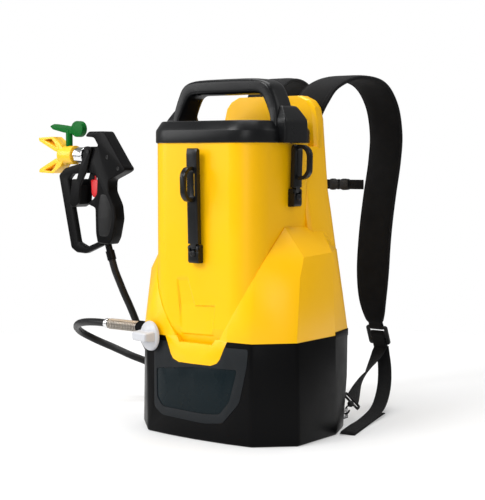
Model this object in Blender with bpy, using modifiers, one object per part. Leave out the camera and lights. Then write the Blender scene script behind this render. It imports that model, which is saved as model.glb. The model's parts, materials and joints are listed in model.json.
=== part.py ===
"""Airless paint sprayer worn on the back, with its gun, paint hose and shoulder straps.

Metres, +Z up. +X is the right of the object seen from its front, -Y the front and +Y the wearer's side.
The origin is the middle of the flat underside that the base stands on.
"""

import math

import bmesh
import bpy
import numpy as np
from mathutils import Matrix, Vector

MM = 0.001
GAP = 0.3 * MM  # between two pieces that touch

# Base housing
BASE_TOP = 158 * MM
REAR_STEP = 5 * MM  # how much higher the base's rim stands round the back
STEP_AT = 56 * MM
DECK_TOP = 146 * MM
WALL = 5 * MM
FRONT = -100 * MM  # corners of the crowned front face
FRONT_CROWN = 8 * MM
FRONT_HALF = 104 * MM
SIDE_HALF = 157.5 * MM
SIDE_DRAFT = 3.5 * MM  # how far the sides have drawn in at the top
BEVEL_BACK = -49 * MM  # where the front bevel meets the side
SIDE_BACK = 54 * MM  # where the side meets the rear bevel
REAR_HALF = 133 * MM
REAR_FLARE = 8 * MM
REAR = 118 * MM
HOLLOW_FRONT = -84 * MM

# Tank and lid
TANK_HALF = 104.5 * MM
TANK_FRONT = -100 * MM
TANK_BACK = 80 * MM
TANK_RADIUS = 45 * MM
TANK_WALL = 3.5 * MM
TANK_TOP = 476 * MM
TANK_FOOT = 29 * MM  # height over which the tank draws in at its foot
TANK_FOOT_IN = 7 * MM
LID_SKIRT = 2.8 * MM
LID_LOW = 460.5 * MM
LID_SHOULDER = 480 * MM
LID_TOP = 494.5 * MM
EAR_FRONT = -34 * MM
EAR_BACK = 27 * MM
EAR_OUT = 120 * MM

# Carry handle
HANDLE_FRONT = -34 * MM
HANDLE_BACK = 11 * MM
HANDLE_TOP = 561.5 * MM

# Cowl
SKIN = 3 * MM
TONGUE_TOP_HALF = 61.4 * MM
TONGUE_LOW = 119.5 * MM
TONGUE_EDGE = ((49 * MM, 131 * MM), (43.5 * MM, 124 * MM), (32 * MM, TONGUE_LOW))  # half widths and heights
CHIN_TOP = 151 * MM  # the chin's top edge, under the tank's foot
LIP = 1.5 * MM  # how far the wings stand out from the tank at their edge
EDGE_NORMAL = (-0.75, -0.44, 0.494)  # the slanting plane of a wing's edge
EDGE_AT = 90.7 * MM
EDGE_FROM = 43 * MM
EDGE_TO = -16 * MM
PANEL_TOP = 537.5 * MM
PANEL_REAR = 120 * MM
PANEL_FRONT = 84.5 * MM

# Latches: (name, turn about Z in degrees, wall point at the pin's height, pin to top, pin to loop's middle)
LATCH_WIDTH = 20 * MM
LATCH_THICK = 8 * MM
LATCH_STAND = 8.5 * MM  # from the wall to the pin
LATCH_LEAN = 1.5  # degrees that the levers lean out at rest
LOOP_HALF = 27 * MM
LOOP_REACH = 23 * MM
LATCHES = (
    ("front", 0, (2 * MM, TANK_FRONT, 300 * MM), 153 * MM, 97.5 * MM),
    ("right", 90, (TANK_HALF, 4 * MM, 386 * MM), 73 * MM, 45 * MM),
    ("left", -90, (-TANK_HALF, 4 * MM, 386 * MM), 73 * MM, 45 * MM),
)

# Prime knob, at the left of the front, and the paint outlet on the left side
KNOB_SEAT = (-91 * MM, -105.2 * MM, 155.5 * MM)
KNOB_AXIS = (-0.25, -0.968, 0)
KNOB_RADIUS = 24 * MM
KNOB_BORE = 4.3 * MM
VALVE_RADIUS = 11 * MM
VALVE_DEEP = 8 * MM
OUTLET = (-153.5 * MM, -45 * MM, 157 * MM)
FITTING_RADIUS = 10 * MM
SPRING_OUT = 18.5 * MM
SPRING_WIRE = 2.1 * MM
SPRING_TURNS = 18
SPRING_FROM = 172 * MM  # how far left of the middle the spring starts
SPRING_TO = 236 * MM
FERRULE_TO = 247 * MM
HOSE = 13 * MM

# Gun: its inlet, with the spray axis towards -X
GUN = (-328 * MM, 50 * MM, 280 * MM)
GUN_THICK = 26 * MM
SPRAY_HEIGHT = 162 * MM
TRIGGER_PIVOT = (32 * MM, 168 * MM)
LOCK_ALONG = 30 * MM
TIP_ALONG = 96 * MM
SWIVEL_AXIS = (0.26, 0.963, -0.07)  # along, up and across in the gun's own plane

# Hose coil, behind the base
COIL_MIDDLE = (-200 * MM, 241 * MM)
COIL_RADIUS = 5.5 * HOSE
COIL_TURNS = 2.75
COIL_STEP = HOSE + 0.5 * MM
COIL_LAYER = HOSE + 0.7 * MM

# Straps
PAD_WIDTH = 65 * MM
PAD_THICK = 9 * MM
WEB_WIDTH = 25 * MM
WEB_THICK = 1.8 * MM
WEB_TWIST = 125  # degrees, from the ladder lock down to the hook
LOCK_TOP = (80 * MM, 297 * MM, 146 * MM)
LOCK_FOOT = (80 * MM, 314 * MM, 106 * MM)
HOOK_SWIVEL = (128 * MM, 141 * MM, 33.5 * MM)
RING = (126 * MM, 127 * MM, 19 * MM)
STERNUM = (302 * MM, 390 * MM)

FRONT_PLANE = Matrix(((1, 0, 0, 0), (0, 0, -1, 0), (0, 1, 0, 0), (0, 0, 0, 1)))
SIDE_PLANE = Matrix(((0, 0, 1, 0), (1, 0, 0, 0), (0, 1, 0, 0), (0, 0, 0, 1)))
GUN_PLANE = Matrix(((-1, 0, 0, GUN[0]), (0, 0, 1, GUN[1]), (0, 1, 0, GUN[2]), (0, 0, 0, 1)))


def clear_scene():
    for item in list(bpy.data.objects):
        bpy.data.objects.remove(item)


def collection(name):
    made = bpy.data.collections.new(name)
    bpy.context.scene.collection.children.link(made)
    return made


def material(name, colour, roughness, metallic=0.0):
    made = bpy.data.materials.new(name)
    made.use_nodes = True
    shader = made.node_tree.nodes["Principled BSDF"]
    shader.inputs["Base Color"].default_value = (*colour, 1)
    shader.inputs["Roughness"].default_value = roughness
    shader.inputs["Metallic"].default_value = metallic
    return made


# ---------------------------------------------------------------- shapes


def box(low, high):
    bm = bmesh.new()
    size = Vector(high) - Vector(low)
    middle = (Vector(high) + Vector(low)) / 2
    bmesh.ops.create_cube(bm, size=1, matrix=Matrix.Translation(middle) @ Matrix.Diagonal((*size, 1)))
    return bm


def rod(start, end, radius, end_radius=None, sides=20):
    """A round bar or a taper from one point to another."""
    start, end = Vector(start), Vector(end)
    along = end - start
    turn = along.to_track_quat("Z", "Y").to_matrix().to_4x4()
    bm = bmesh.new()
    bmesh.ops.create_cone(
        bm,
        cap_ends=True,
        segments=sides,
        radius1=radius,
        radius2=radius if end_radius is None else end_radius,
        depth=along.length,
        matrix=Matrix.Translation((start + end) / 2) @ turn,
    )
    return bm


def hull(points):
    """The flat-sided solid that has these corners."""
    bm = bmesh.new()
    for point in points:
        bm.verts.new(point)
    made = bmesh.ops.convex_hull(bm, input=bm.verts)
    inner = {g for g in made["geom_interior"] + made["geom_unused"] if isinstance(g, bmesh.types.BMVert)}
    bmesh.ops.delete(bm, geom=list(inner), context="VERTS")
    bmesh.ops.dissolve_limit(bm, angle_limit=math.radians(0.5), verts=bm.verts, edges=bm.edges)
    bmesh.ops.recalc_face_normals(bm, faces=bm.faces)
    return bm


def loft(rings):
    """A solid skinned over rings that have the same number of points."""
    bm = bmesh.new()
    rows = [[bm.verts.new(point) for point in ring] for ring in rings]
    count = len(rows[0])
    for low, high in zip(rows, rows[1:]):
        for i in range(count):
            j = (i + 1) % count
            bm.faces.new((low[i], low[j], high[j], high[i]))
    bm.faces.new(reversed(rows[0]))
    bm.faces.new(rows[-1])
    bmesh.ops.recalc_face_normals(bm, faces=bm.faces)
    return bm


def rounded(corners, radius, steps=4):
    """An outline whose corners are arcs of about this radius, as quadratic curves from side to side."""
    made = []
    count = len(corners)
    for i, corner in enumerate(corners):
        corner = Vector(corner)
        before = Vector(corners[i - 1]) - corner
        after = Vector(corners[(i + 1) % count]) - corner
        reach = min(radius, 0.45 * before.length, 0.45 * after.length)
        start = corner + before.normalized() * reach
        end = corner + after.normalized() * reach
        for k in range(steps + 1):
            t = k / steps
            made.append((1 - t) ** 2 * start + 2 * t * (1 - t) * corner + t * t * end)
    return made


def rounded_rectangle(low, high, radius, steps=5):
    """A rectangle with true quarter circles at its corners, anticlockwise."""
    centres = (
        (high[0] - radius, high[1] - radius, 0),
        (low[0] + radius, high[1] - radius, 90),
        (low[0] + radius, low[1] + radius, 180),
        (high[0] - radius, low[1] + radius, 270),
    )
    made = []
    for x, y, start in centres:
        for k in range(steps + 1):
            angle = math.radians(start + 90 * k / steps)
            made.append((x + radius * math.cos(angle), y + radius * math.sin(angle)))
    return made


def plate(outlines, thickness, plane):
    """A flat shape, with holes where outlines lie inside the first one, centred on its plane."""
    curve = bpy.data.curves.new("outline", "CURVE")
    curve.dimensions = "2D"
    curve.fill_mode = "BOTH"
    curve.extrude = thickness / 2
    for outline in outlines:
        spline = curve.splines.new("POLY")
        spline.points.add(len(outline) - 1)
        for point, place in zip(spline.points, outline):
            point.co = (place[0], place[1], 0, 1)
        spline.use_cyclic_u = True
    holder = bpy.data.objects.new("outline", curve)
    mesh = bpy.data.meshes.new_from_object(holder)
    bpy.data.objects.remove(holder)
    bm = bmesh.new()
    bm.from_mesh(mesh)
    bpy.data.meshes.remove(mesh)
    bmesh.ops.remove_doubles(bm, verts=bm.verts, dist=0.00001)
    bmesh.ops.transform(bm, matrix=plane, verts=bm.verts)
    bmesh.ops.dissolve_limit(bm, angle_limit=math.radians(0.5), verts=bm.verts, edges=bm.edges)
    bmesh.ops.recalc_face_normals(bm, faces=bm.faces)
    return bm


# ---------------------------------------------------------------- objects


class Shop:
    """Where finished parts go, and the tools that work on them."""

    def __init__(self):
        self.parts = collection("airless_paint_sprayer")
        self.tools = collection("cutters")

    def solid(self, name, bm, finish):
        mesh = bpy.data.meshes.new(name)
        bm.to_mesh(mesh)
        bm.free()
        mesh.materials.append(finish)
        made = bpy.data.objects.new(name, mesh)
        self.parts.objects.link(made)
        return made

    def bake(self, made):
        """Gives the object the mesh that its modifiers make."""
        graph = bpy.context.evaluated_depsgraph_get()
        finished = bpy.data.meshes.new_from_object(made.evaluated_get(graph))
        made.modifiers.clear()
        made.data = finished
        return made

    def combine(self, made, bm, operation):
        mesh = bpy.data.meshes.new("tool")
        bm.to_mesh(mesh)
        bm.free()
        tool = bpy.data.objects.new("tool", mesh)
        tool.hide_render = True
        tool.display_type = "WIRE"
        self.tools.objects.link(tool)
        step = made.modifiers.new(operation, "BOOLEAN")
        step.operation = operation
        step.object = tool
        step.solver = "EXACT"
        self.bake(made)
        bpy.data.objects.remove(tool)
        return made

    def cut(self, made, *cutters):
        for bm in cutters:
            self.combine(made, bm, "DIFFERENCE")
        return made

    def join(self, made, *pieces):
        for bm in pieces:
            self.combine(made, bm, "UNION")
        return made

    def taken(self, made):
        """Takes an object away and gives its shape, to cut or join another with."""
        bm = bmesh.new()
        bm.from_mesh(made.data)
        bpy.data.objects.remove(made)
        return bm

    def soften(self, made, width, segments=2, angle=30):
        """Rounds the edges that turn by more than this angle."""
        step = made.modifiers.new("round", "BEVEL")
        step.width = width
        step.segments = segments
        step.limit_method = "ANGLE"
        step.angle_limit = math.radians(angle)
        return self.bake(made)

    def smooth(self, made, angle=35):
        made.data.shade_smooth()
        made.data.set_sharp_from_angle(angle=math.radians(angle))
        return made

    def turned(self, name, profile, place, finish, steps=20):
        """A turned piece: the profile is (radius, height) down its outer side, turned about the place's Z."""
        bm = bmesh.new()
        points = [bm.verts.new((radius, 0, height)) for radius, height in profile]
        for a, b in zip(points, points[1:]):
            bm.edges.new((a, b))
        made = self.solid(name, bm, finish)
        step = made.modifiers.new("turn", "SCREW")
        step.steps = steps
        step.render_steps = steps
        step.use_merge_vertices = True
        step.merge_threshold = 0.00001
        self.bake(made)
        made.data.transform(place)
        return self.smooth(made)

    def tube(self, name, points, radius, finish, resolution=2):
        curve = bpy.data.curves.new(name, "CURVE")
        curve.dimensions = "3D"
        curve.bevel_depth = radius
        curve.bevel_resolution = resolution
        curve.use_fill_caps = True
        spline = curve.splines.new("POLY")
        spline.points.add(len(points) - 1)
        for point, place in zip(spline.points, points):
            point.co = (*place, 1)
        curve.materials.append(finish)
        made = bpy.data.objects.new(name, curve)
        self.parts.objects.link(made)
        return made

    def tube_mesh(self, points, radius, resolution=2):
        """The same tube as a closed mesh, to be joined to another piece."""
        holder = self.tube("wire", points, radius, None, resolution)
        mesh = bpy.data.meshes.new_from_object(holder)
        bpy.data.objects.remove(holder)
        bm = bmesh.new()
        bm.from_mesh(mesh)
        bpy.data.meshes.remove(mesh)
        bmesh.ops.remove_doubles(bm, verts=bm.verts, dist=0.00001)
        bmesh.ops.recalc_face_normals(bm, faces=bm.faces)
        return bm


def smooth_curve(points, spacing):
    """Points at an even spacing on the smooth curve through these points (Catmull-Rom)."""
    route = [Vector(p) for p in points]
    route = [2 * route[0] - route[1], *route, 2 * route[-1] - route[-2]]
    fine = []
    for a, b, c, d in zip(route, route[1:], route[2:], route[3:]):
        for k in range(24):
            t = k / 24
            fine.append(
                0.5 * (2 * b + (c - a) * t + (2 * a - 5 * b + 4 * c - d) * t * t + (3 * b - a - 3 * c + d) * t**3)
            )
    fine.append(route[-2])
    walked = np.cumsum([0] + [(q - p).length for p, q in zip(fine, fine[1:])])
    stops = np.linspace(0, walked[-1], max(2, round(walked[-1] / spacing) + 1))
    spots = np.array(fine)
    return [Vector([np.interp(s, walked, spots[:, k]) for k in range(3)]) for s in stops]


# ---------------------------------------------------------------- base


def base_ring(height, inset):
    """The base's outline at a height, drawn in by an inset on every side."""
    share = height / BASE_TOP
    side = SIDE_HALF - SIDE_DRAFT * share - inset
    half = FRONT_HALF + 2 * MM * share - 0.4 * inset
    rear_half = REAR_HALF + REAR_FLARE * min(1, share * 1.6) - 0.6 * inset
    front = FRONT + inset
    rear = REAR - inset
    right = [
        (0.55 * half, front - 0.7 * FRONT_CROWN),
        (half, front),
        (side, BEVEL_BACK + 0.4 * inset),
        (side, SIDE_BACK - 0.3 * inset),
        (rear_half, rear - 6 * MM),
        (rear_half - 8 * MM, rear),
    ]
    left = [(-x, y) for x, y in reversed(right)]
    return [Vector((x, y, height)) for x, y in [(0, front - FRONT_CROWN), *right, *left]]


def base_body(low, high, inset):
    middle = (low + high) / 2
    return loft([base_ring(z, inset) for z in (low, middle, high)])


def base_hollow(low, high, inset):
    """The base's inside: flat at the front, where the wall is thick enough to carry the notch."""
    bm = base_body(low, high, inset)
    for vert in bm.verts:
        vert.co.y = max(vert.co.y, HOLLOW_FRONT + inset - WALL)
    return bm


def rear_rim():
    """The back part of the base's rim, which stands a step higher than the rest."""
    bm = base_body(BASE_TOP - 6 * MM, BASE_TOP + REAR_STEP, 0)
    for vert in bm.verts:
        vert.co.y = max(vert.co.y, STEP_AT)
    return bm


def notch(grow):
    """The U at the top of the base's front, which the cowl's tongue fills."""
    top = TONGUE_TOP_HALF + grow
    right = [(x + grow, z - grow) for x, z in TONGUE_EDGE]
    right = [(top + 2 * MM, BASE_TOP + 4 * MM), (top, BASE_TOP), *right]
    outline = right + [(-x, z) for x, z in reversed(right)]
    plane = Matrix.Translation((0, HOLLOW_FRONT - 18 * MM - grow, 0)) @ FRONT_PLANE
    return plate([outline], 36 * MM, plane)


def tongue(shop, yellow):
    """The chin of the cowl: it leans out towards its foot, and its top dips under the tank's foot."""
    fronts = (-106.3 * MM, -107 * MM, -107.6 * MM)
    corners = [
        (TONGUE_TOP_HALF, -104.3 * MM, BASE_TOP),
        (TONGUE_TOP_HALF - 2 * MM, -103.2 * MM, BASE_TOP + 2 * MM),
        *((x, front, z) for (x, z), front in zip(TONGUE_EDGE, fronts)),
        (0, -109 * MM, TONGUE_LOW),
    ]
    back = HOLLOW_FRONT - 1 * MM
    form = hull([(s * x, y, z) for s in (-1, 1) for x, front, z in corners for y in (front, back)])
    dip = [(-33 * MM, CHIN_TOP), (33 * MM, CHIN_TOP), (48 * MM, 175 * MM), (-48 * MM, 175 * MM)]
    chin = shop.solid("chin", form, yellow)
    shop.cut(chin, plate([dip], 60 * MM, Matrix.Translation((0, FRONT, 0)) @ FRONT_PLANE))
    return shop.taken(chin)


def badge_outline():
    """The frame on the front, in X and Z: its right side is drawn in lower down."""
    return [
        (-87 * MM, 150 * MM),
        (-87 * MM, 42 * MM),
        (-69.5 * MM, 31 * MM),
        (21 * MM, 28 * MM),
        (54 * MM, 32 * MM),
        (84 * MM, 66 * MM),
        (97 * MM, 122 * MM),
        (100 * MM, 150 * MM),
    ]


def field_outline():
    """The dark field inside the frame."""
    return [
        (-81 * MM, 105 * MM),
        (-80 * MM, 58 * MM),
        (-68 * MM, 45 * MM),
        (21 * MM, 43 * MM),
        (48 * MM, 45.5 * MM),
        (66 * MM, 66 * MM),
        (80 * MM, 117 * MM),
        (0, 114.5 * MM),
    ]


def inset_outline(outline, inset):
    """The outline drawn in towards its middle."""
    points = [Vector(point) for point in outline]
    middle = sum(points, Vector((0, 0))) / len(points)
    made = []
    for point in points:
        away = point - middle
        shrunk = [along * (1 - inset / abs(along + 1e-6)) for along in (away.x, away.y)]
        made.append(middle + Vector(shrunk))
    return made


def front_prism(outline):
    plane = Matrix.Translation((0, FRONT, 0)) @ FRONT_PLANE
    return plate([rounded(outline, 5 * MM, 2)], 60 * MM, plane)


def knob_bar(start, end, radius, sides=24):
    """A round bar on the prime knob's axis, from one height over its seat to another."""
    seat, axis = Vector(KNOB_SEAT), Vector(KNOB_AXIS).normalized()
    return rod(seat + axis * start, seat + axis * end, radius, sides=sides)


def outlet_bar(start, end, radius, sides=20):
    """A round bar on the outlet's axis, between two distances to the left of the middle."""
    return rod((-start, OUTLET[1], OUTLET[2]), (-end, OUTLET[1], OUTLET[2]), radius, sides=sides)


def build_base(shop, black, grey, field):
    housing = shop.solid("base_housing", base_body(0, BASE_TOP + 12 * MM, 0), black)
    shop.soften(housing, 4 * MM, 2, 25)
    shop.cut(housing, box((-0.2, -0.2, BASE_TOP), (0.2, 0.2, 0.3)))
    shop.join(housing, rear_rim())
    recess = shop.solid("recess", front_prism(badge_outline()), black)
    shop.cut(recess, base_body(-1 * MM, BASE_TOP + 5 * MM, 1.5 * MM))
    shop.cut(
        housing,
        shop.taken(recess),
        base_hollow(-10 * MM, DECK_TOP - WALL, WALL),
        base_hollow(DECK_TOP, BASE_TOP + 20 * MM, WALL),
        tank_body(DECK_TOP, BASE_TOP + 20 * MM, GAP),
        notch(GAP),
        knob_bar(10 * MM, -VALVE_DEEP - GAP, VALVE_RADIUS + GAP),
        outlet_bar(0.14, 0.18, FITTING_RADIUS + GAP),
        rod((PIPE[0], PIPE[1], 0.13), (PIPE[0], PIPE[1], 0.16), 8 * MM + GAP, sides=16),
        rod((INLET[0], INLET[1], 0.13), (INLET[0], INLET[1], 0.16), 9 * MM + GAP, sides=16),
    )
    frame = shop.solid("badge_frame", front_prism(inset_outline(badge_outline(), GAP)), grey)
    shop.combine(frame, base_body(0, BASE_TOP + 1 * MM, -0.6 * MM), "INTERSECT")
    shop.cut(
        frame,
        base_body(-1 * MM, BASE_TOP + 2 * MM, 1.5 * MM - GAP),
        front_prism(field_outline()),
        notch(GAP),
        knob_bar(10 * MM, -VALVE_DEEP - GAP, VALVE_RADIUS + GAP),
    )
    dark = shop.solid("badge_field", front_prism(inset_outline(field_outline(), GAP)), field)
    shop.combine(dark, base_body(0, BASE_TOP, 0.2 * MM), "INTERSECT")
    shop.cut(dark, base_body(-1 * MM, BASE_TOP + 1 * MM, 1.5 * MM - GAP))
    shop.solid("bottom_cover", base_hollow(0, 3.5 * MM, WALL + 2 * GAP), black)


# ---------------------------------------------------------------- tank and cowl


def tank_ring(height, grow):
    low = (-TANK_HALF - grow, TANK_FRONT - grow)
    high = (TANK_HALF + grow, TANK_BACK + grow)
    return [Vector((x, y, height)) for x, y in rounded_rectangle(low, high, TANK_RADIUS + grow)]


def tank_body(low, high, grow):
    """The tank's outer form, larger by grow; its foot draws in where the cowl holds it."""
    foot = DECK_TOP + TANK_FOOT
    rings = [(low, grow), (high, grow)]
    if low < foot:
        rings = [(low, grow - TANK_FOOT_IN), (foot, grow), (high, grow)]
    return loft([tank_ring(z, out) for z, out in rings])


def pocket(low, high, half, depth):
    """A shallow moulded pocket on the tank's front, with sloping edges."""
    slope = 4 * MM
    front, back = TANK_FRONT - 1 * MM, TANK_FRONT + depth
    outer = [(s * (half + slope), front, z) for s in (-1, 1) for z in (low - slope, high + slope)]
    return hull(outer + [(s * half, back, z) for s in (-1, 1) for z in (low, high)])


def build_tank(shop, yellow):
    tank = shop.solid("tank", tank_body(DECK_TOP + GAP, TANK_TOP, 0), yellow)
    shop.cut(
        tank,
        tank_body(DECK_TOP + 5 * MM, TANK_TOP + 10 * MM, -TANK_WALL),
        pocket(166 * MM, 206 * MM, 20 * MM, 1.6 * MM),
        pocket(172 * MM, 243 * MM, 36 * MM, 0.8 * MM),
        rod((INLET[0], INLET[1], 0.1), (INLET[0], INLET[1], 0.2), 9 * MM + GAP, sides=16),
    )
    return shop.smooth(tank)


def cowl_edge(grow, skin):
    """Points on a wing's front edge: the tank's outline, larger by grow, in a slanting plane."""
    normal = Vector(EDGE_NORMAL)
    middle = Vector((TANK_HALF - TANK_RADIUS, TANK_FRONT + TANK_RADIUS))
    reach = TANK_RADIUS + grow
    outline = [(EDGE_FROM, TANK_FRONT - grow)]
    for k in range(7):
        angle = math.radians(15 * k - 90)
        outline.append((middle.x + reach * math.cos(angle), middle.y + reach * math.sin(angle)))
    outline.append((TANK_HALF + grow, EDGE_TO))
    return [(x, y, (EDGE_AT - skin - normal.x * x - normal.y * y) / normal.z) for x, y in outline]


def wing(side, skin):
    """A flat-sided wing of the cowl; skin draws its faces in for the hollow behind it."""
    low = BASE_TOP - 1 * MM if skin else BASE_TOP + GAP
    corners = [
        (61.4 * MM, -104.3 * MM, low),
        (106 * MM, -101 * MM, low),
        (145 * MM, -20 * MM, 286 * MM),
        (150 * MM, 50 * MM, 290 * MM),
        (153.6 * MM, -50.3 * MM, low),
        (149.5 * MM, -37 * MM, 256 * MM),
        (153.6 * MM, 54 * MM, low),
        (140.5 * MM, 112 * MM, low),
        (118 * MM, 112 * MM, 290 * MM),
        (132.5 * MM, 118 * MM, low),
        (110 * MM, 118 * MM, 290 * MM),
        (103.5 * MM, 85 * MM, 328.5 * MM),
        (103.5 * MM, 108 * MM, 300 * MM),
        (60 * MM, -80 * MM, low),
        (60 * MM, 110 * MM, low),
    ]
    made = cowl_edge(LIP - skin, skin) + cowl_edge(-8 * MM, skin)
    for x, y, z in corners:
        drop = 1.3 * skin if z > low else 0
        made.append((x - skin, y + (skin if y < 0 else -skin), z - drop))
    return hull([(side * x, y, z) for x, y, z in made])


def panel_ring(height, half, front, skin=0.0):
    """The back panel's outline at a height: rounded towards the wearer."""
    back = PANEL_REAR - skin
    right = [(half - 14 * MM, back), (half - 4 * MM, back - 4 * MM), (half, back - 13 * MM)]
    right += [(half + 2 * MM, front + 5 * MM), (half - 4 * MM, front)]
    left = [(-x, y) for x, y in reversed(right)]
    return [Vector((x, y, height)) for x, y in [*right, *left]]


PANEL_LOW = (
    (BASE_TOP + GAP, 141 * MM),
    (220 * MM, 131.5 * MM),
    (290 * MM, 118 * MM),
    (350 * MM, 108 * MM),
    (385 * MM, 101.5 * MM),
    (LID_LOW - 5 * MM, 95.5 * MM),
)
PANEL_HIGH = (
    (LID_LOW - 7 * MM, 95.6 * MM),
    (500 * MM, 92 * MM),
    (519 * MM, 87 * MM),
    (530 * MM, 78 * MM),
    (PANEL_TOP, 62 * MM),
)


def panel(stations, front, skin=0.0, drop=0.0):
    return loft([panel_ring(z - drop, half - skin, front, skin) for z, half in stations])


def build_cowl(shop, yellow):
    cowl = shop.solid("cowl", panel(PANEL_LOW, 44 * MM), yellow)
    shop.join(cowl, panel(PANEL_HIGH, PANEL_FRONT), wing(1, 0), wing(-1, 0), tongue(shop, yellow))
    shop.cut(
        cowl,
        tank_body(DECK_TOP, 0.6, GAP),
        wing(1, SKIN),
        wing(-1, SKIN),
        panel(((DECK_TOP, 140 * MM), *PANEL_LOW[1:]), 44 * MM, SKIN, 4 * MM),
        panel(PANEL_HIGH, PANEL_FRONT + SKIN, SKIN, 6 * MM),
        box((-0.2, STEP_AT - GAP, 0.14), (0.2, 0.2, BASE_TOP + REAR_STEP + GAP)),
        knob_bar(10 * MM, -VALVE_DEEP - GAP, VALVE_RADIUS + GAP),
        outlet_bar(0.13, 0.18, FITTING_RADIUS + GAP),
    )
    return shop.smooth(cowl, 20)


# ---------------------------------------------------------------- lid and carry handle


def lid_body(grow):
    sections = ((LID_LOW, LID_SKIRT), (LID_SHOULDER, LID_SKIRT), (LID_TOP, -7 * MM))
    return loft([tank_ring(z + (grow if z == LID_TOP else 0), skirt + grow) for z, skirt in sections])


def ear(side):
    """A buttress over a side latch, up against the foot of the handle."""
    made = [(x, y, z) for x in (98 * MM, EAR_OUT) for y in (EAR_FRONT, EAR_BACK) for z in (LID_LOW, 496 * MM)]
    made += [(107 * MM, y, 509 * MM) for y in (EAR_FRONT + 4 * MM, EAR_BACK - 9 * MM)]
    made += [(96 * MM, y, 518 * MM) for y in (EAR_FRONT + 7 * MM, EAR_BACK - 16 * MM)]
    return hull([(side * x, y, z) for x, y, z in made])


def handle_arch():
    right = [(106 * MM, LID_TOP - 8 * MM), (105 * MM, 499 * MM), (97 * MM, 530 * MM), (84 * MM, 550 * MM)]
    right += [(62 * MM, 560 * MM), (0, HANDLE_TOP)]
    outer = [*right, *[(-x, z) for x, z in reversed(right[:-1])]]
    inside = [(90 * MM, LID_TOP - 8 * MM), (89 * MM, 499 * MM), (75 * MM, 529 * MM), (66 * MM, 536 * MM)]
    outline = outer + [(-x, z) for x, z in inside] + [(x, z) for x, z in reversed(inside)]
    plane = Matrix.Translation((0, (HANDLE_FRONT + HANDLE_BACK) / 2, 0)) @ FRONT_PLANE
    return plate([rounded(outline, 11 * MM, 2)], HANDLE_BACK - HANDLE_FRONT, plane)


def build_lid(shop, charcoal, rubber):
    lid = shop.solid("lid", lid_body(0), charcoal)
    shop.soften(lid, 1.2 * MM, 1, 30)
    shop.cut(lid, tank_body(LID_LOW - 5 * MM, TANK_TOP + 4 * MM, 0.6 * MM))
    handle = shop.solid("carry_handle", handle_arch(), charcoal)
    shop.soften(handle, 3.5 * MM, 2, 50)
    shop.join(handle, ear(1), ear(-1))
    shop.cut(handle, lid_body(GAP), box((-0.15, -0.1, 0.4), (0.15, 0.1, LID_LOW)))
    gasket = shop.solid("lid_gasket", tank_body(TANK_TOP + GAP, TANK_TOP + 4 * MM - GAP, -0.2 * MM), rubber)
    shop.cut(gasket, tank_body(TANK_TOP - 1 * MM, TANK_TOP + 9 * MM, -TANK_WALL))


# ---------------------------------------------------------------- latches


def half_disc_hook(reach, half, wall):
    """The outline of a finger loop: a D with its straight side at the bar."""
    outer = [(4 * MM, half), (-0.55 * reach, half), (-reach, 0.62 * half), (-reach, -0.62 * half)]
    outer += [(-0.55 * reach, -half), (4 * MM, -half)]
    low, near = half - wall, -reach + wall
    inner = [(-0.5 * MM, low), (0.6 * near, low), (near, 0.6 * low), (near, -0.6 * low)]
    inner += [(0.6 * near, -low), (-0.5 * MM, -low)]
    return rounded(outer, 8 * MM, 3), rounded(inner, 5 * MM, 3)


def latch_lever(shop, name, long, loop, finish):
    """A lever on a pin along X through the origin: its bar stands up from it, and outwards is -Y."""
    half = LATCH_WIDTH / 2
    thick = LATCH_THICK / 2
    tip = [(thick, long - 3 * MM), (-thick + 2 * MM, long), (-thick, long - 9 * MM)]
    profile = [(-thick, 5.5 * MM), (thick, 5.5 * MM), *tip]
    lever = shop.solid(name, plate([rounded(profile, 2 * MM, 2)], LATCH_WIDTH, SIDE_PLANE), finish)
    knuckle = [(-thick, 9 * MM), (-thick, 0), (-0.7 * thick, -0.7 * thick), (0, -thick)]
    knuckle += [(0.7 * thick, -0.7 * thick), (thick, 0), (thick, 9 * MM)]
    outer, inner = half_disc_hook(LOOP_REACH, min(LOOP_HALF, long - loop - 1 * MM), 5.5 * MM)
    at_loop = Matrix.Translation((0, -thick, loop)) @ SIDE_PLANE
    shop.join(lever, plate([knuckle], 11 * MM, SIDE_PLANE), plate([outer, inner], 9 * MM, at_loop))
    window = [(x * MM, loop + y * MM) for x, y in ((-5, -20), (5, -20), (5, 18), (-5, 18))]
    slot = plate([rounded(window, 3 * MM, 2)], 2 * LATCH_THICK, Matrix.Translation((0, 4 * MM, 0)) @ FRONT_PLANE)
    shop.cut(lever, slot, rod((-half, 0, 0), (half, 0, 0), 2.3 * MM, sides=12))
    lever.data.transform(Matrix.Rotation(math.radians(LATCH_LEAN), 4, "X"))
    return lever


def latch_bracket(shop, name, finish):
    """The foot that a lever's pin goes through, standing on the wall at +Y."""
    half = LATCH_WIDTH / 2
    wall = LATCH_STAND - GAP
    heel = [(-2 * MM, -24 * MM), (-4 * MM, -21 * MM), (-4 * MM, -6.5 * MM)]
    foot = [(wall, -6.5 * MM), (wall, -24 * MM), *heel]
    bracket = shop.solid(name, plate([rounded(foot, 1.5 * MM, 2)], LATCH_WIDTH, SIDE_PLANE), finish)
    nose = [(4 * MM, 4.5 * MM), (-3 * MM, 4 * MM), (-4.5 * MM, 0), (-4 * MM, -8 * MM)]
    lug = [(wall, -8 * MM), (wall, 4 * MM), *nose]
    for side in (-1, 1):
        at = Matrix.Translation((side * (half - 2 * MM), 0, 0)) @ SIDE_PLANE
        shop.join(bracket, plate([rounded(lug, 2 * MM, 1)], 4 * MM, at))
    return shop.cut(bracket, rod((-2 * half, 0, 0), (2 * half, 0, 0), 2.3 * MM, sides=12))


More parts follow.
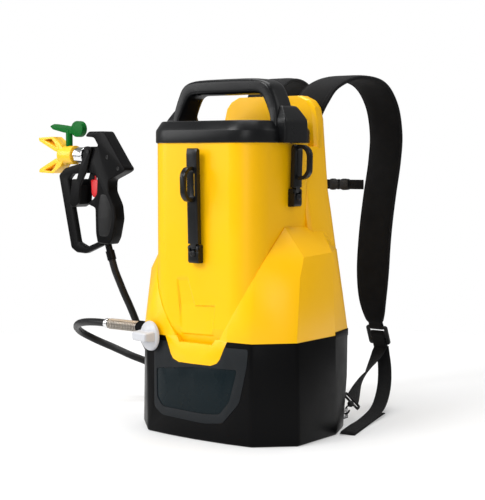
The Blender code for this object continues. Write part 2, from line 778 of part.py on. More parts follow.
def build_latches(shop, black, steel):
    for name, turn, wall, long, loop in LATCHES:
        place = Matrix.Translation(wall) @ Matrix.Rotation(math.radians(turn), 4, "Z")
        place = place @ Matrix.Translation((0, -LATCH_STAND, 0))
        lever = latch_lever(shop, f"latch_{name}", long, loop, black)
        bracket = latch_bracket(shop, f"latch_bracket_{name}", black)
        half = LATCH_WIDTH / 2
        end = half + 1 * MM
        pin = shop.solid(f"latch_pin_{name}", rod((-end, 0, 0), (end, 0, 0), 2 * MM, sides=12), steel)
        for side in (-1, 1):
            head = rod((side * (half + GAP), 0, 0), (side * (half + 1.6 * MM), 0, 0), 3.2 * MM, sides=12)
            shop.join(pin, head)
        for piece in (lever, bracket, pin):
            piece.matrix_world = place


# ---------------------------------------------------------------- knob, outlet and spring


def build_knob(shop, white, steel):
    """The knob is made round its own Z, which then lies on the valve's axis with the grip level."""
    axis = Vector(KNOB_AXIS).normalized()
    level = Vector((0, 0, 1)).cross(axis).normalized()
    place = Matrix.Translation(KNOB_SEAT) @ Matrix((
        (level.x, 0, axis.x, 0),
        (level.y, 0, axis.y, 0),
        (level.z, 1, axis.z, 0),
        (0, 0, 0, 1),
    ))
    if place.determinant() < 0:
        place = place @ Matrix.Diagonal((-1, 1, 1, 1))
    rim = KNOB_RADIUS
    profile = [(0, 13 * MM), (8 * MM, 12.5 * MM), (17 * MM, 9.5 * MM), (rim - 1.5 * MM, 5 * MM), (rim, 0), (0, 0)]
    knob = shop.turned("prime_knob", profile, Matrix.Identity(4), white, 24)
    low, high = 2 * MM, 25 * MM
    outline = [(-21 * MM, low), (21 * MM, low), (20 * MM, high - 8 * MM), (13 * MM, high), (-13 * MM, high)]
    outline += [(-20 * MM, high - 8 * MM)]
    grip = plate([rounded(outline, 5 * MM, 3)], 13 * MM, FRONT_PLANE)
    shop.join(knob, grip)
    shop.cut(knob, rod((0, 0, -0.01), (0, 0, 8 * MM), KNOB_BORE, sides=16))
    shop.smooth(knob)
    knob.matrix_world = place @ Matrix.Translation((0, 0, GAP))
    valve = shop.solid("prime_valve", knob_bar(-VALVE_DEEP, 0, VALVE_RADIUS), steel)
    shop.join(valve, knob_bar(-1 * MM, 7.5 * MM, KNOB_BORE - GAP, 16))


def helix_point(turned, radius, along):
    return Vector((-along, OUTLET[1] + radius * math.cos(turned), OUTLET[2] + radius * math.sin(turned)))


def spring_route():
    """An open spring along -X, closed up at its ends, which run straight for a wire's width."""
    radius = (SPRING_OUT - SPRING_WIRE) / 2
    count = 8 * SPRING_TURNS
    made = []
    for k in range(count + 1):
        share = k / count
        along = SPRING_FROM + (SPRING_TO - SPRING_FROM) * share
        made.append(helix_point(2 * math.pi * SPRING_TURNS * share, radius, along))
    first = (made[0] - made[1]).normalized() * SPRING_WIRE
    last = (made[-1] - made[-2]).normalized() * SPRING_WIRE
    return [made[0] + first, *made, made[-1] + last]


def gap_to_itself(points, diameter, apart):
    """The least distance between two turns of a tube, less its diameter."""
    spots = np.array([tuple(p) for p in points])
    least = min(np.linalg.norm(spots[i + apart :] - spots[i], axis=1).min() for i in range(len(spots) - apart))
    return least - diameter


def build_outlet(shop, steel, spring_steel, chrome):
    fitting = shop.solid("outlet_fitting", outlet_bar(0.1448, 0.1580, FITTING_RADIUS), steel)
    shop.join(fitting, outlet_bar(0.1575, 0.1695, 10.5 * MM, 6))
    route = spring_route()
    shop.tube("strain_relief_spring", route, SPRING_WIRE / 2, spring_steel, 1)
    print("spring gap to itself mm", round(1000 * gap_to_itself(route, SPRING_WIRE, 6), 2))
    ferrule = shop.solid("hose_ferrule", outlet_bar(SPRING_TO + 1.6 * MM, FERRULE_TO - 2 * MM, 8.6 * MM), chrome)
    mouth = [Vector((-x, *OUTLET[1:])) for x in (FERRULE_TO - 2.2 * MM, FERRULE_TO)]
    shop.join(ferrule, rod(*mouth, 8.6 * MM, 7.6 * MM))
    shop.cut(ferrule, outlet_bar(0.2, 0.3, HOSE / 2 + GAP))


# ---------------------------------------------------------------- hose


def coil_route():
    """Two layers of loops: they draw in, climb a layer while they are innermost, and draw out again."""
    total = 2 * math.pi * COIL_TURNS
    count = round(24 * COIL_TURNS)
    swing = COIL_STEP * COIL_TURNS / 2
    made = []
    for k in range(count + 1):
        turned = total * k / count
        inwards = 1 - abs(2 * turned / total - 1)
        radius = COIL_RADIUS + swing * (0.5 - inwards)
        climb = min(1, max(0, (turned - total / 2) / math.pi + 0.5))
        climb = climb * climb * (3 - 2 * climb)
        angle = turned - math.pi / 2
        x = COIL_MIDDLE[0] + radius * math.cos(angle)
        y = COIL_MIDDLE[1] + radius * math.sin(angle)
        made.append(Vector((x, y, HOSE / 2 + GAP + climb * COIL_LAYER)))
    start = made[0] - Vector((HOSE, 0, 0))
    end = made[-1] - Vector((0, HOSE, 0))
    return [start, *made, end]


def outlet_route(end):
    """From the fitting through the spring, out to the left, round, and down to just short of the coil."""
    return [
        (-0.1700, OUTLET[1], OUTLET[2]),
        (-0.2000, OUTLET[1], OUTLET[2]),
        (-0.2471, OUTLET[1], OUTLET[2]),
        (-0.2720, -0.0430, 0.1567),
        (-0.3167, -0.0300, 0.1510),
        (-0.3544, -0.0050, 0.1392),
        (-0.3760, 0.0270, 0.1236),
        (-0.3690, 0.0580, 0.1063),
        (-0.3411, 0.0750, 0.0926),
        (-0.3066, 0.0850, 0.0797),
        (-0.2823, 0.1000, 0.0688),
        (-0.2600, 0.1210, 0.0520),
        (-0.2480, 0.1390, 0.0310),
        (-0.2370, 0.1530, 0.0140),
        (end.x - 0.0090, end.y, end.z),
    ]


def gun_route(start):
    """From just past the coil's upper layer, up behind the outlet run to just short of the gun's swivel."""
    return [
        (start.x, start.y - 0.0090, start.z),
        (start.x - 0.0005, start.y - 0.0300, 0.0225),
        (-0.2850, 0.1590, 0.0380),
        (-0.2890, 0.1300, 0.0660),
        (-0.2905, 0.1080, 0.0980),
        (-0.2945, 0.0930, 0.1280),
        (-0.3010, 0.0800, 0.1640),
        (-0.3089, 0.0660, 0.2000),
        (-0.3165, 0.0560, 0.2330),
        tuple(gun_inlet(-35 * MM)),
    ]


def build_hose(shop, hose_black):
    coil = coil_route()
    shop.tube("hose_coil", coil, HOSE / 2, hose_black, 1)
    start = coil[0] - Vector((GAP, 0, 0))
    end = coil[-1] - Vector((0, GAP, 0))
    first = [*smooth_curve(outlet_route(start), 0.019), start]
    second = [end, *smooth_curve(gun_route(end), 0.017), gun_inlet(-26.3 * MM)]
    shop.tube("hose_outlet_run", first, HOSE / 2, hose_black, 2)
    shop.tube("hose_gun_run", second, HOSE / 2, hose_black, 2)
    print("coil gap to itself mm", round(1000 * gap_to_itself(coil, HOSE, 12), 2))
    for name, route in (("coil", coil), ("outlet run", first), ("gun run", second)):
        print(name, "length m", round(sum((b - a).length for a, b in zip(route, route[1:])), 4))
    apart = min((a - b).length for a in first for b in second)
    print("hose runs apart mm", round(1000 * (apart - HOSE), 1))


# ---------------------------------------------------------------- gun


def gun_point(along, height, across=0.0):
    return GUN_PLANE @ Vector((along, height, across))


def gun_inlet(height):
    """A point on the swivel's axis, at a height over the gun's inlet."""
    return gun_point(*(Vector(SWIVEL_AXIS).normalized() * height))


def gun_plate(outlines, thickness, across=0.0):
    return plate(outlines, thickness, GUN_PLANE @ Matrix.Translation((0, 0, across)))


def gun_bar(start, end, radius, sides=20, end_radius=None):
    return rod(gun_point(*start), gun_point(*end), radius, end_radius, sides)


def scaled(points):
    return [(along * MM, height * MM) for along, height in points]


def gun_body_outline():
    """The gun from the side: hook, back, tail, grip, beak and barrel, along and up from the inlet in mm."""
    hook = [(45, 195), (36, 204), (-3, 204)]
    back = [(-46, 146), (-54, 137), (-47, 132), (-13, 118)]
    grip = [(-12, 98), (-26, 73), (-29, 49), (-21, 16), (-13, 3), (16, 5), (20, 22), (21, 68)]
    beak = [(42, 75), (26, 83), (17, 92)]
    front = [(15, 122), (33, 132), (49, 146), (49, 177)]
    inside = [(12, 177), (23, 193), (30, 194)]
    return scaled(hook + back + grip + beak + front + inside)


def guard_outline():
    """The trigger guard: down from the barrel, along the front, and back to the foot of the grip."""
    outer = [(60, 148), (104, 138), (119, 125), (89, -7), (75, -15), (52, -16), (12, 0)]
    inner = [(14, 10), (25, 5), (49, -4), (69, 4), (94, 118), (84, 128), (34, 130), (40, 146)]
    return scaled(outer + inner)


def build_gun_body(shop, black):
    gun = shop.solid("gun_body", gun_plate([rounded(gun_body_outline(), 4 * MM, 2)], GUN_THICK), black)
    shop.soften(gun, 4 * MM, 1, 50)
    guard = shop.solid("guard", gun_plate([rounded(guard_outline(), 3 * MM, 2)], 12 * MM), black)
    shop.soften(guard, 2 * MM, 1, 50)
    shop.join(gun, shop.taken(guard), gun_bar((44 * MM, SPRAY_HEIGHT), (53 * MM, SPRAY_HEIGHT), 11 * MM))
    shop.cut(
        gun,
        gun_bar((*TRIGGER_PIVOT, -0.03), (*TRIGGER_PIVOT, 0.03), 2.3 * MM, 12),
        rod(gun_inlet(-20 * MM), gun_inlet(14 * MM), 6.5 * MM, sides=16),
        gun_bar((LOCK_ALONG, 120 * MM), (LOCK_ALONG, 142 * MM), 2.4 * MM, 12),
        gun_bar((48 * MM, SPRAY_HEIGHT), (60 * MM, SPRAY_HEIGHT), 6.9 * MM, 16),
    )
    return gun


def on_pivot(piece, pivot):
    """Moves the object's origin to its pivot without moving its shape."""
    piece.data.transform(Matrix.Translation(-pivot))
    piece.location = pivot
    return piece


def build_trigger(shop, black, steel, red):
    outer = [(23, 176), (38, 178), (54, 140), (62, 118), (73, 119)]
    cheek = scaled([*outer, (81, 74), (72, 67), (57, 75), (53, 108), (37, 134)])
    trigger = shop.solid("trigger", gun_plate([rounded(cheek, 3 * MM, 2)], 35 * MM), black)
    shop.soften(trigger, 1 * MM, 1, 50)
    slot = scaled([(5, 190), (66, 190), (80, 124), (66, 117), (60, 108), (62, 80), (56, 60), (30, 60)])
    shop.cut(
        trigger,
        gun_plate([slot], GUN_THICK + 1.4 * MM),
        gun_bar((*TRIGGER_PIVOT, -0.03), (*TRIGGER_PIVOT, 0.03), 2.3 * MM, 12),
    )
    on_pivot(trigger, gun_point(*TRIGGER_PIVOT))
    pin = shop.solid("trigger_pin", gun_bar((*TRIGGER_PIVOT, -18 * MM), (*TRIGGER_PIVOT, 18 * MM), 2 * MM, 12), steel)
    for side in (-1, 1):
        ends = ((*TRIGGER_PIVOT, side * 17.8 * MM), (*TRIGGER_PIVOT, side * 19.5 * MM))
        shop.join(pin, gun_bar(*ends, 3.6 * MM, 12))
    flag = scaled([(20, 118), (40, 118), (38, 93), (35, 86), (26, 86), (20, 96)])
    lock = shop.solid("trigger_lock", gun_plate([rounded(flag, 3 * MM, 2)], 7 * MM), red)
    shop.soften(lock, 1 * MM, 1, 50)
    shop.join(lock, gun_bar((LOCK_ALONG, 116 * MM), (LOCK_ALONG, 139 * MM), 2 * MM, 12))
    on_pivot(lock, gun_point(LOCK_ALONG, 116 * MM))


def build_tip(shop, bronze, yellow, green, steel):
    level = SPRAY_HEIGHT
    nut = shop.solid("housing_nut", gun_bar((54 * MM, level), (76 * MM, level), 14.5 * MM, 8), bronze)
    shop.soften(nut, 1.2 * MM, 1, 40)
    shop.cut(nut, gun_bar((50 * MM, level), (80 * MM, level), 7 * MM, 16))
    shop.solid("gun_diffuser", gun_bar((49 * MM, level), (78.7 * MM, level), 6.6 * MM, 16), steel)
    guard = shop.solid("tip_guard", gun_bar((79 * MM, level), (112 * MM, level), 17 * MM, 24), yellow)
    for side in (-1, 1):
        blade = [(100, 9), (107, 20), (128, 33.5), (163, 32), (162, 26), (119, 6)]
        window = [(117, 14), (123, 23), (131, 30), (150, 28)]
        outlines = [
            rounded([(along * MM, level + side * rise * MM) for along, rise in shape], 2 * MM, 2)
            for shape in (blade, window)
        ]
        shop.join(guard, gun_plate(outlines, 24 * MM))
    shop.cut(
        guard,
        gun_bar((103 * MM, level), (126 * MM, level), 5 * MM, 16, 15 * MM),
        gun_bar((TIP_ALONG, level - 30 * MM), (TIP_ALONG, level + 30 * MM), 6.6 * MM, 16),
    )
    stem = gun_bar((TIP_ALONG, level - 16 * MM), (TIP_ALONG, level + 46 * MM), 6.2 * MM, 16)
    key = shop.solid("tip_key", stem, green)
    disc = gun_bar((71 * MM, 209 * MM, -6 * MM), (71 * MM, 209 * MM, 6 * MM), 14.5 * MM, 16)
    arrow = scaled([(80, 200), (84, 213), (104, 216), (130, 219), (141, 215), (134, 209), (106, 203)])
    shop.join(key, disc, gun_plate([rounded(arrow, 2 * MM, 2)], 9 * MM))
    shop.cut(key, gun_bar((80 * MM, level), (112 * MM, level), 1.2 * MM, 8))
    on_pivot(key, gun_point(TIP_ALONG, level))


def build_swivel(shop, black):
    swivel = shop.solid("hose_swivel", rod(gun_inlet(-26 * MM), gun_inlet(-9 * MM), 8 * MM, sides=16), black)
    shop.join(swivel, rod(gun_inlet(-10 * MM), gun_inlet(13 * MM), 6.1 * MM, sides=16))


# ---------------------------------------------------------------- straps


def ribbon(path, across, width, thickness, crown=0.0):
    """A strap lofted along a path; across gives the direction of its width, one for each point or one for all."""
    rings = []
    for i, point in enumerate(path):
        along = path[min(i + 1, len(path) - 1)] - path[max(i - 1, 0)]
        side = Vector(across[i] if isinstance(across, list) else across)
        side = (side - along * side.dot(along) / along.length_squared).normalized()
        up = side.cross(along).normalized()
        w = (width[i] if isinstance(width, list) else width) / 2
        t = thickness / 2
        section = [(-w, -t), (w, -t), (w, t), (-w, t)]
        if crown:
            section = [(-w, 0), (-w + crown, -t), (w - crown, -t), (w, 0), (w - crown, t), (-w + crown, t)]
        rings.append([point + side * a + up * b for a, b in section])
    return loft(rings)


def strap_route(side):
    """Middle line of a shoulder strap, from the back panel's top, over, and down on the wearer's side."""
    line = [
        (50, 128.5, 500),
        (52, 138, 530),
        (58, 163, 556),
        (68, 212, 571.5),
        (78, 270, 564),
        (82, 306, 530),
        (83, 321, 480),
        (81.5, 319, 430),
        (80.5, 305, 370),
        (80, 293, 310),
        (80, 286, 250),
        (80, 285, 195),
        (80, 291, 162),
        (80, 296.5, 145.5),
    ]
    return [(side * x * MM, y * MM, z * MM) for x, y, z in line]


def mirrored(side, point):
    return Vector((side * point[0], point[1], point[2]))


def build_straps(shop, fabric, webbing, black, steel):
    bar = shop.solid("strap_bar", box((-75 * MM, PANEL_REAR + GAP, 478 * MM), (75 * MM, 122.8 * MM, 503 * MM)), black)
    shop.soften(bar, 0.8 * MM, 1, 50)
    for side, name in ((1, "right"), (-1, "left")):
        route = smooth_curve(strap_route(side), 0.025)
        width = [PAD_WIDTH] * len(route)
        width[:2] = [44 * MM, 54 * MM]
        width[-2:] = [56 * MM, 32 * MM]
        shop.solid(f"shoulder_strap_{name}", ribbon(route, (1, 0, 0), width, PAD_THICK, 5 * MM), fabric)
        build_ladder_lock(shop, side, name, black)
        build_webbing(shop, side, name, webbing)
        build_hook(shop, side, name, black, steel)


def build_ladder_lock(shop, side, name, black):
    top, foot = mirrored(side, LOCK_TOP), mirrored(side, LOCK_FOOT)
    down = (foot - top).normalized()
    across = Vector((1, 0, 0))
    out = across.cross(down)
    middle = (top + foot) / 2
    plane = Matrix((
        (across.x, down.x, out.x, middle.x),
        (across.y, down.y, out.y, middle.y),
        (across.z, down.z, out.z, middle.z),
        (0, 0, 0, 1),
    ))
    frame = rounded_rectangle((-21 * MM, -18 * MM), (21 * MM, 18 * MM), 4 * MM, 3)
    slots = [rounded_rectangle((-15 * MM, y), (15 * MM, y + 7 * MM), 1.5 * MM, 2) for y in (-13 * MM, 4 * MM)]
    shop.solid(f"ladder_lock_{name}", plate([frame, *slots], 4.5 * MM, plane), black)


def hook_axes():
    """The direction in which the right webbing reaches the hook, and that of its width there."""
    along = (Vector(HOOK_SWIVEL) - Vector((103 * MM, 208 * MM, 52.5 * MM))).normalized()
    return along, twisted(along, 1.0)


def twisted(along, share):
    """The direction of the webbing's width after this share of its twist."""
    angle = math.radians(WEB_TWIST * share)
    side = Vector((math.cos(angle), -0.42 * math.sin(angle), 0.9 * math.sin(angle)))
    return (side - along * side.dot(along)).normalized()


def build_webbing(shop, side, name, webbing):
    """The webbing from the ladder lock down to the hook, and its free tail."""
    along, _ = hook_axes()
    end = Vector(HOOK_SWIVEL) - along * 18.5 * MM
    line = [(80, 311.5, 102), (83, 291, 86), (90, 256, 69), (98, 222, 57)]
    line = [(x * MM, y * MM, z * MM) for x, y, z in line] + [tuple(end)]
    route = smooth_curve(line, 0.009)
    across = []
    for i in range(len(route)):
        step = (route[min(i + 1, len(route) - 1)] - route[max(i - 1, 0)]).normalized()
        turn = twisted(step, max(0, (i - 1) / (len(route) - 2)))
        across.append(mirrored(side, turn))
    shop.solid(
        f"strap_webbing_{name}",
        ribbon([mirrored(side, p) for p in route], across, WEB_WIDTH, WEB_THICK),
        webbing,
    )
    shop.solid(f"strap_tail_{name}", ribbon(tail_route(side), (1, 0, 0), WEB_WIDTH, WEB_THICK), webbing)


def tail_route(side):
    """The webbing's free end down to the floor: the right one is folded back under itself."""
    right = [(81, 318, 101), (95, 303, 68), (112, 272, 38), (131, 222, 15), (143, 166, 5)]
    right += [(155, 118, 4.3), (166, 81, 4.2)]
    left = [(-80, 318, 101), (-72, 303, 66), (-52, 276, 34), (-30, 240, 12), (-16, 196, 2.6), (-10, 140, 1.4)]
    folded = [(169.5, 70, 4.2), (171, 66, 2.7), (169.5, 70, 1.2), (149, 139, 1.2)]
    folded += [(128, 210, 1.2), (119, 243, 1.2)]
    line = smooth_curve([Vector(point) * MM for point in (right if side > 0 else left)], 0.02)
    return line + [Vector(point) * MM for point in (folded if side > 0 else [])]


def build_hook(shop, side, name, black, steel):
    """A swivel hook: a bail that holds the webbing, a ball, and a hook through the ring on the base."""
    along, across = hook_axes()
    swivel, ring = Vector(HOOK_SWIVEL), Vector(RING)
    normal = across.cross(along)
    middle = swivel - along * 10.5 * MM
    plane = Matrix((
        (across.x, along.x, normal.x, middle.x),
        (across.y, along.y, normal.y, middle.y),
        (across.z, along.z, normal.z, middle.z),
        (0, 0, 0, 1),
    ))
    outer = rounded_rectangle((-17 * MM, -7 * MM), (17 * MM, 7 * MM), 3 * MM, 2)
    inner = rounded_rectangle((-14 * MM, -4 * MM), (14 * MM, 4 * MM), 1.5 * MM, 2)
    bail = plate([outer, inner], 3 * MM, plane)
    down = (ring - swivel).normalized()
    flat = Vector((1, 0, 0))
    flat = (flat - down * flat.dot(down)).normalized()
    bend = ring - down * 4.5 * MM
    curl = [swivel + down * 3 * MM, swivel + down * 6 * MM - flat * 3.5 * MM]
    for k in range(7):
        angle = math.pi * k / 6
        curl.append(bend + 4.5 * MM * (down * math.sin(angle) - flat * math.cos(angle)))
    curl.append(bend + flat * 4.5 * MM - down * 4 * MM)
    ball = bmesh.new()
    bmesh.ops.create_uvsphere(ball, u_segments=12, v_segments=8, radius=5.5 * MM, matrix=Matrix.Translation(swivel))
    pieces = [bail, shop.tube_mesh(curl, 1.5 * MM, 1)]
    plate_low = Vector((RING[0] - 1.5 * MM, REAR + GAP, RING[2] - 8 * MM))
    plate_high = Vector((RING[0] + 1.5 * MM, RING[1] + 7.5 * MM, RING[2] + 8 * MM))
    holder = shop.solid(f"strap_ring_{name}", box(plate_low, plate_high), steel)
    shop.cut(holder, rod(ring - flat * 0.01, ring + flat * 0.01, 4.3 * MM, sides=12))
    hook = shop.solid(f"strap_hook_{name}", ball, black)
    shop.join(hook, *pieces)
    if side < 0:
        for made in (holder, hook):
            made.data.transform(Matrix.Diagonal((-1, 1, 1, 1)))
            made.data.flip_normals()


def build_sternum(shop, webbing, black):
    depth, height = STERNUM
    for side, name in ((1, "right"), (-1, "left")):
        path = [(20.8 * MM, depth, height), (34 * MM, depth + 1 * MM, height), (47 * MM, depth + 4 * MM, height)]
        path = [mirrored(side, point) for point in path]
        shop.solid(f"sternum_webbing_{name}", ribbon(path, (0, 0, 1), 17 * MM, WEB_THICK), webbing)
    plane = Matrix.Translation((0, depth, height)) @ FRONT_PLANE
    upper = [(-0.5, 10.5), (-6, 7.5), (-12, 10.5), (-20, 9.5)]
    socket = scaled([*upper, *((x, -y) for x, y in reversed(upper))])
    plug = scaled([(0.5, 8), (8, 10.5), (20, 9.5), (20, -9.5), (8, -10.5), (0.5, -8)])
    for name, outline in (("buckle_socket", socket), ("buckle_plug", plug)):
        piece = shop.solid(name, plate([rounded(outline, 2.5 * MM, 2)], 9 * MM, plane), black)
        shop.soften(piece, 1.5 * MM, 1, 50)


# ---------------------------------------------------------------- inside the base


PIPE = (-128 * MM, -42 * MM)
INLET = (-75 * MM, 0)


def build_inside(shop, steel, dark, rubber):
    """Drive and pump: a motor and gearbox beside a piston pump, fed from the tank's floor."""
    corners = [(-144, -22), (-144, -46), (-118, -68), (-112, -68), (-112, -22)]
    block = hull([(x * MM, y * MM, z) for x, y in corners for z in (DECK_TOP + GAP, 170 * MM)])
    manifold = shop.solid("outlet_manifold", block, steel)
    shop.join(manifold, rod((*PIPE, 121 * MM), (*PIPE, 150 * MM), 8 * MM, sides=16))
    pump = shop.solid("piston_pump", rod((*PIPE, 12 * MM), (*PIPE, 120.7 * MM), 16 * MM, sides=20), steel)
    shop.soften(pump, 2 * MM, 1, 50)
    gears = shop.solid("gearbox", box((-111 * MM, -66 * MM, 8 * MM), (-60 * MM, 4 * MM, 96 * MM)), steel)
    shop.soften(gears, 5 * MM, 1, 50)
    case = rod((-59.5 * MM, -32 * MM, 50 * MM), (45 * MM, -32 * MM, 50 * MM), 34 * MM, sides=24)
    motor = shop.solid("motor", case, dark)
    shop.soften(motor, 3 * MM, 1, 50)
    battery = shop.solid("battery_pack", box((-110 * MM, 30 * MM, 8 * MM), (110 * MM, 104 * MM, 92 * MM)), dark)
    shop.soften(battery, 6 * MM, 1, 50)
    tube = shop.solid("suction_tube", rod((*INLET, 106 * MM), (*INLET, DECK_TOP + 1 * MM), 9 * MM, sides=16), rubber)
    pump_side = Vector((PIPE[0], PIPE[1], 110 * MM))
    elbow = Vector((*INLET, 110 * MM))
    towards = (elbow - pump_side).normalized()
    shop.join(tube, rod(pump_side + towards * 16.4 * MM, elbow, 6 * MM, sides=16))
    dome = [(0, 26 * MM), (12 * MM, 25 * MM), (17 * MM, 18 * MM)]
    strainer = [*dome, (17 * MM, 5 * MM), (8 * MM, 4 * MM), (8 * MM, 0), (0, 0)]
    place = Matrix.Translation((*INLET, DECK_TOP + 1 * MM + GAP))
    shop.turned("inlet_strainer", strainer, place, rubber, 16)


def build():
    clear_scene()
    shop = Shop()
    black = material("moulded_black", (0.010, 0.010, 0.012), 0.45)
    charcoal = material("lid_charcoal", (0.022, 0.023, 0.025), 0.42)
    grey = material("badge_grey", (0.04, 0.042, 0.045), 0.5)
    field = material("badge_dark", (0.006, 0.010, 0.014), 0.35)
    yellow = material("tank_yellow", (1.0, 0.55, 0.008), 0.38)
    white = material("knob_white", (0.75, 0.75, 0.77), 0.4)
    rubber = material("rubber", (0.012, 0.012, 0.012), 0.8)
    steel = material("plated_steel", (0.55, 0.55, 0.56), 0.3, 1.0)
    spring = material("spring_steel", (0.42, 0.34, 0.26), 0.35, 1.0)
    chrome = material("chrome", (0.8, 0.8, 0.8), 0.12, 1.0)
    bronze = material("nut_bronze", (0.45, 0.28, 0.12), 0.35, 1.0)
    green = material("tip_green", (0.007, 0.155, 0.024), 0.4)
    red = material("lock_red", (0.66, 0.005, 0.01), 0.4)
    fabric = material("strap_fabric", (0.009, 0.009, 0.010), 0.9)
    webbing = material("webbing", (0.012, 0.012, 0.013), 0.85)
    hose_black = material("hose_black", (0.012, 0.012, 0.013), 0.4)
    dark = material("motor_dark", (0.03, 0.03, 0.035), 0.5)
    build_base(shop, black, grey, field)
    build_tank(shop, yellow)
    build_cowl(shop, yellow)
    build_lid(shop, charcoal, rubber)
    build_latches(shop, black, steel)
    build_knob(shop, white, steel)
    build_outlet(shop, steel, spring, chrome)
    build_hose(shop, hose_black)
    build_gun_body(shop, black)
    build_trigger(shop, black, steel, red)
    build_tip(shop, bronze, yellow, green, steel)
    build_swivel(shop, black)
    build_straps(shop, fabric, webbing, black, steel)
    build_sternum(shop, webbing, black)
    build_inside(shop, steel, dark, rubber)


build()
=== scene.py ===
"""Looks of an airless paint sprayer that is worn on the back: finishes, fine forms, floor and light.

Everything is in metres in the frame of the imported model: +X is the object's right seen from its front,
-Y its front, +Y the wearer's side and +Z up. Routes, outlines and profiles are written in millimetres.
"""

from __future__ import annotations

import json
import logging
import math
from dataclasses import dataclass
from enum import Enum
from functools import cache

import bmesh
import bpy
import numpy as np
from mathutils import Matrix, Vector

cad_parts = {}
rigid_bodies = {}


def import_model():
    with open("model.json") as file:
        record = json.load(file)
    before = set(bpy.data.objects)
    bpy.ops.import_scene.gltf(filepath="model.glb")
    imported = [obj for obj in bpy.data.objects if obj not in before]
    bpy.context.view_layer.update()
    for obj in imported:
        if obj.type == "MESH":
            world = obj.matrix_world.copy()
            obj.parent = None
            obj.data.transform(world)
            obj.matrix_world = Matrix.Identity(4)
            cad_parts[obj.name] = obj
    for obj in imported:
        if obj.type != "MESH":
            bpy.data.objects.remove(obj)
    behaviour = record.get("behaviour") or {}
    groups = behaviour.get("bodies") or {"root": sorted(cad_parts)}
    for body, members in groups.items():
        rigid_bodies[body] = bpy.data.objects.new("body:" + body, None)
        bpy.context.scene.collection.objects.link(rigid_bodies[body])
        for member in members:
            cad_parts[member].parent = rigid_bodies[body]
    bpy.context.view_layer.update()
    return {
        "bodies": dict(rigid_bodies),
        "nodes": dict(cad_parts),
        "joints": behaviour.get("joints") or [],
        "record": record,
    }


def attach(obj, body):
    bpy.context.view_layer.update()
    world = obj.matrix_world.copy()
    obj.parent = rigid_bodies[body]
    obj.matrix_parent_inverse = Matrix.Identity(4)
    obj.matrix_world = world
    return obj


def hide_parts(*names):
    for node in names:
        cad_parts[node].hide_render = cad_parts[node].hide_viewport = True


Triple = tuple[float, float, float]
Array = np.ndarray
Piece = bpy.types.Object
Socket = bpy.types.NodeSocket
Material = bpy.types.Material

LOG = logging.getLogger("sprayer")
MM = 0.001
SIDES = {"right": 1.0, "left": -1.0}
GUN_INLET: Triple = (-0.328, 0.05, 0.28)
WHITE = (1.0, 1.0, 1.0, 1.0)
CROWN = 0.22


# ---- finishes


@dataclass
class Graph:
    """The node graph of one material, with the few nodes that the finishes share."""

    name: str

    def __post_init__(self) -> None:
        """Starts the material with its main shader."""
        self.material = bpy.data.materials.new(self.name)
        self.material.use_nodes = True
        self.tree = self.material.node_tree

    def fill(self, made: bpy.types.Node, sockets: dict) -> None:
        """Sets a node's inputs, or joins outputs to them.

        Args:
            made: the node.
            sockets: each input's number, colour or source, by the input's name or number.
        """
        for socket, value in sockets.items():
            if isinstance(value, Socket):
                self.tree.links.new(value, made.inputs[socket])
            else:
                made.inputs[socket].default_value = value

    def node(self, kind: str, sockets: dict, output: str | int, **settings: object) -> Socket:
        """Adds a node.

        Args:
            kind: the node's type.
            sockets: what its inputs get.
            output: the name or number of the output that is wanted.
            settings: its properties, by name.

        Returns:
            The output.
        """
        made = self.tree.nodes.new(kind)
        for key, value in settings.items():
            setattr(made, key, value)
        self.fill(made, sockets)
        return made.outputs[output]

    def coordinates(self, kind: str) -> Socket:
        """Gives a coordinate of the surface: Object or UV."""
        return self.node("ShaderNodeTexCoord", {}, kind)

    def noise(self, vector: Socket, scale: float, detail: float) -> Socket:
        """Adds fractal noise, about 0.5, with so many features per metre and so many finer layers."""
        return self.node("ShaderNodeTexNoise", {"Vector": vector, "Scale": scale, "Detail": detail}, "Fac")

    def span(self, value: Socket, low: float, high: float) -> Socket:
        """Spreads a value of 0.3 to 0.7, such as a noise, over low to high."""
        sockets = {"Value": value, "From Min": 0.3, "From Max": 0.7, "To Min": low, "To Max": high}
        return self.node("ShaderNodeMapRange", sockets, "Result")

    def blend(self, share: Socket, first: Triple, second: Triple) -> Socket:
        """Mixes two linear colours by the share of the second."""
        sockets = {0: share, 6: (*first, 1.0), 7: (*second, 1.0)}
        return self.node("ShaderNodeMix", sockets, 2, data_type="RGBA")

    def reckon(self, kind: str, first: Socket, second: Socket) -> Socket:
        """Joins two values with one step of arithmetic: ADD or MULTIPLY."""
        return self.node("ShaderNodeMath", {0: first, 1: second}, 0, operation=kind)

    def bump(self, height: Socket, distance: float) -> Socket:
        """Turns a height of 0 to 1, where 1 stands for a distance in millimetres, into a normal."""
        return self.node("ShaderNodeBump", {"Height": height, "Distance": distance * MM}, "Normal")

    def dressed(self, sockets: dict) -> Material:
        """Sets the main shader's inputs and gives the material."""
        self.fill(self.tree.nodes["Principled BSDF"], sockets)
        return self.material


def scaled(colour: Triple, factor: float) -> Triple:
    """Makes a linear colour lighter or darker by a factor, up to white."""
    return tuple(min(1.0, part * factor) for part in colour)


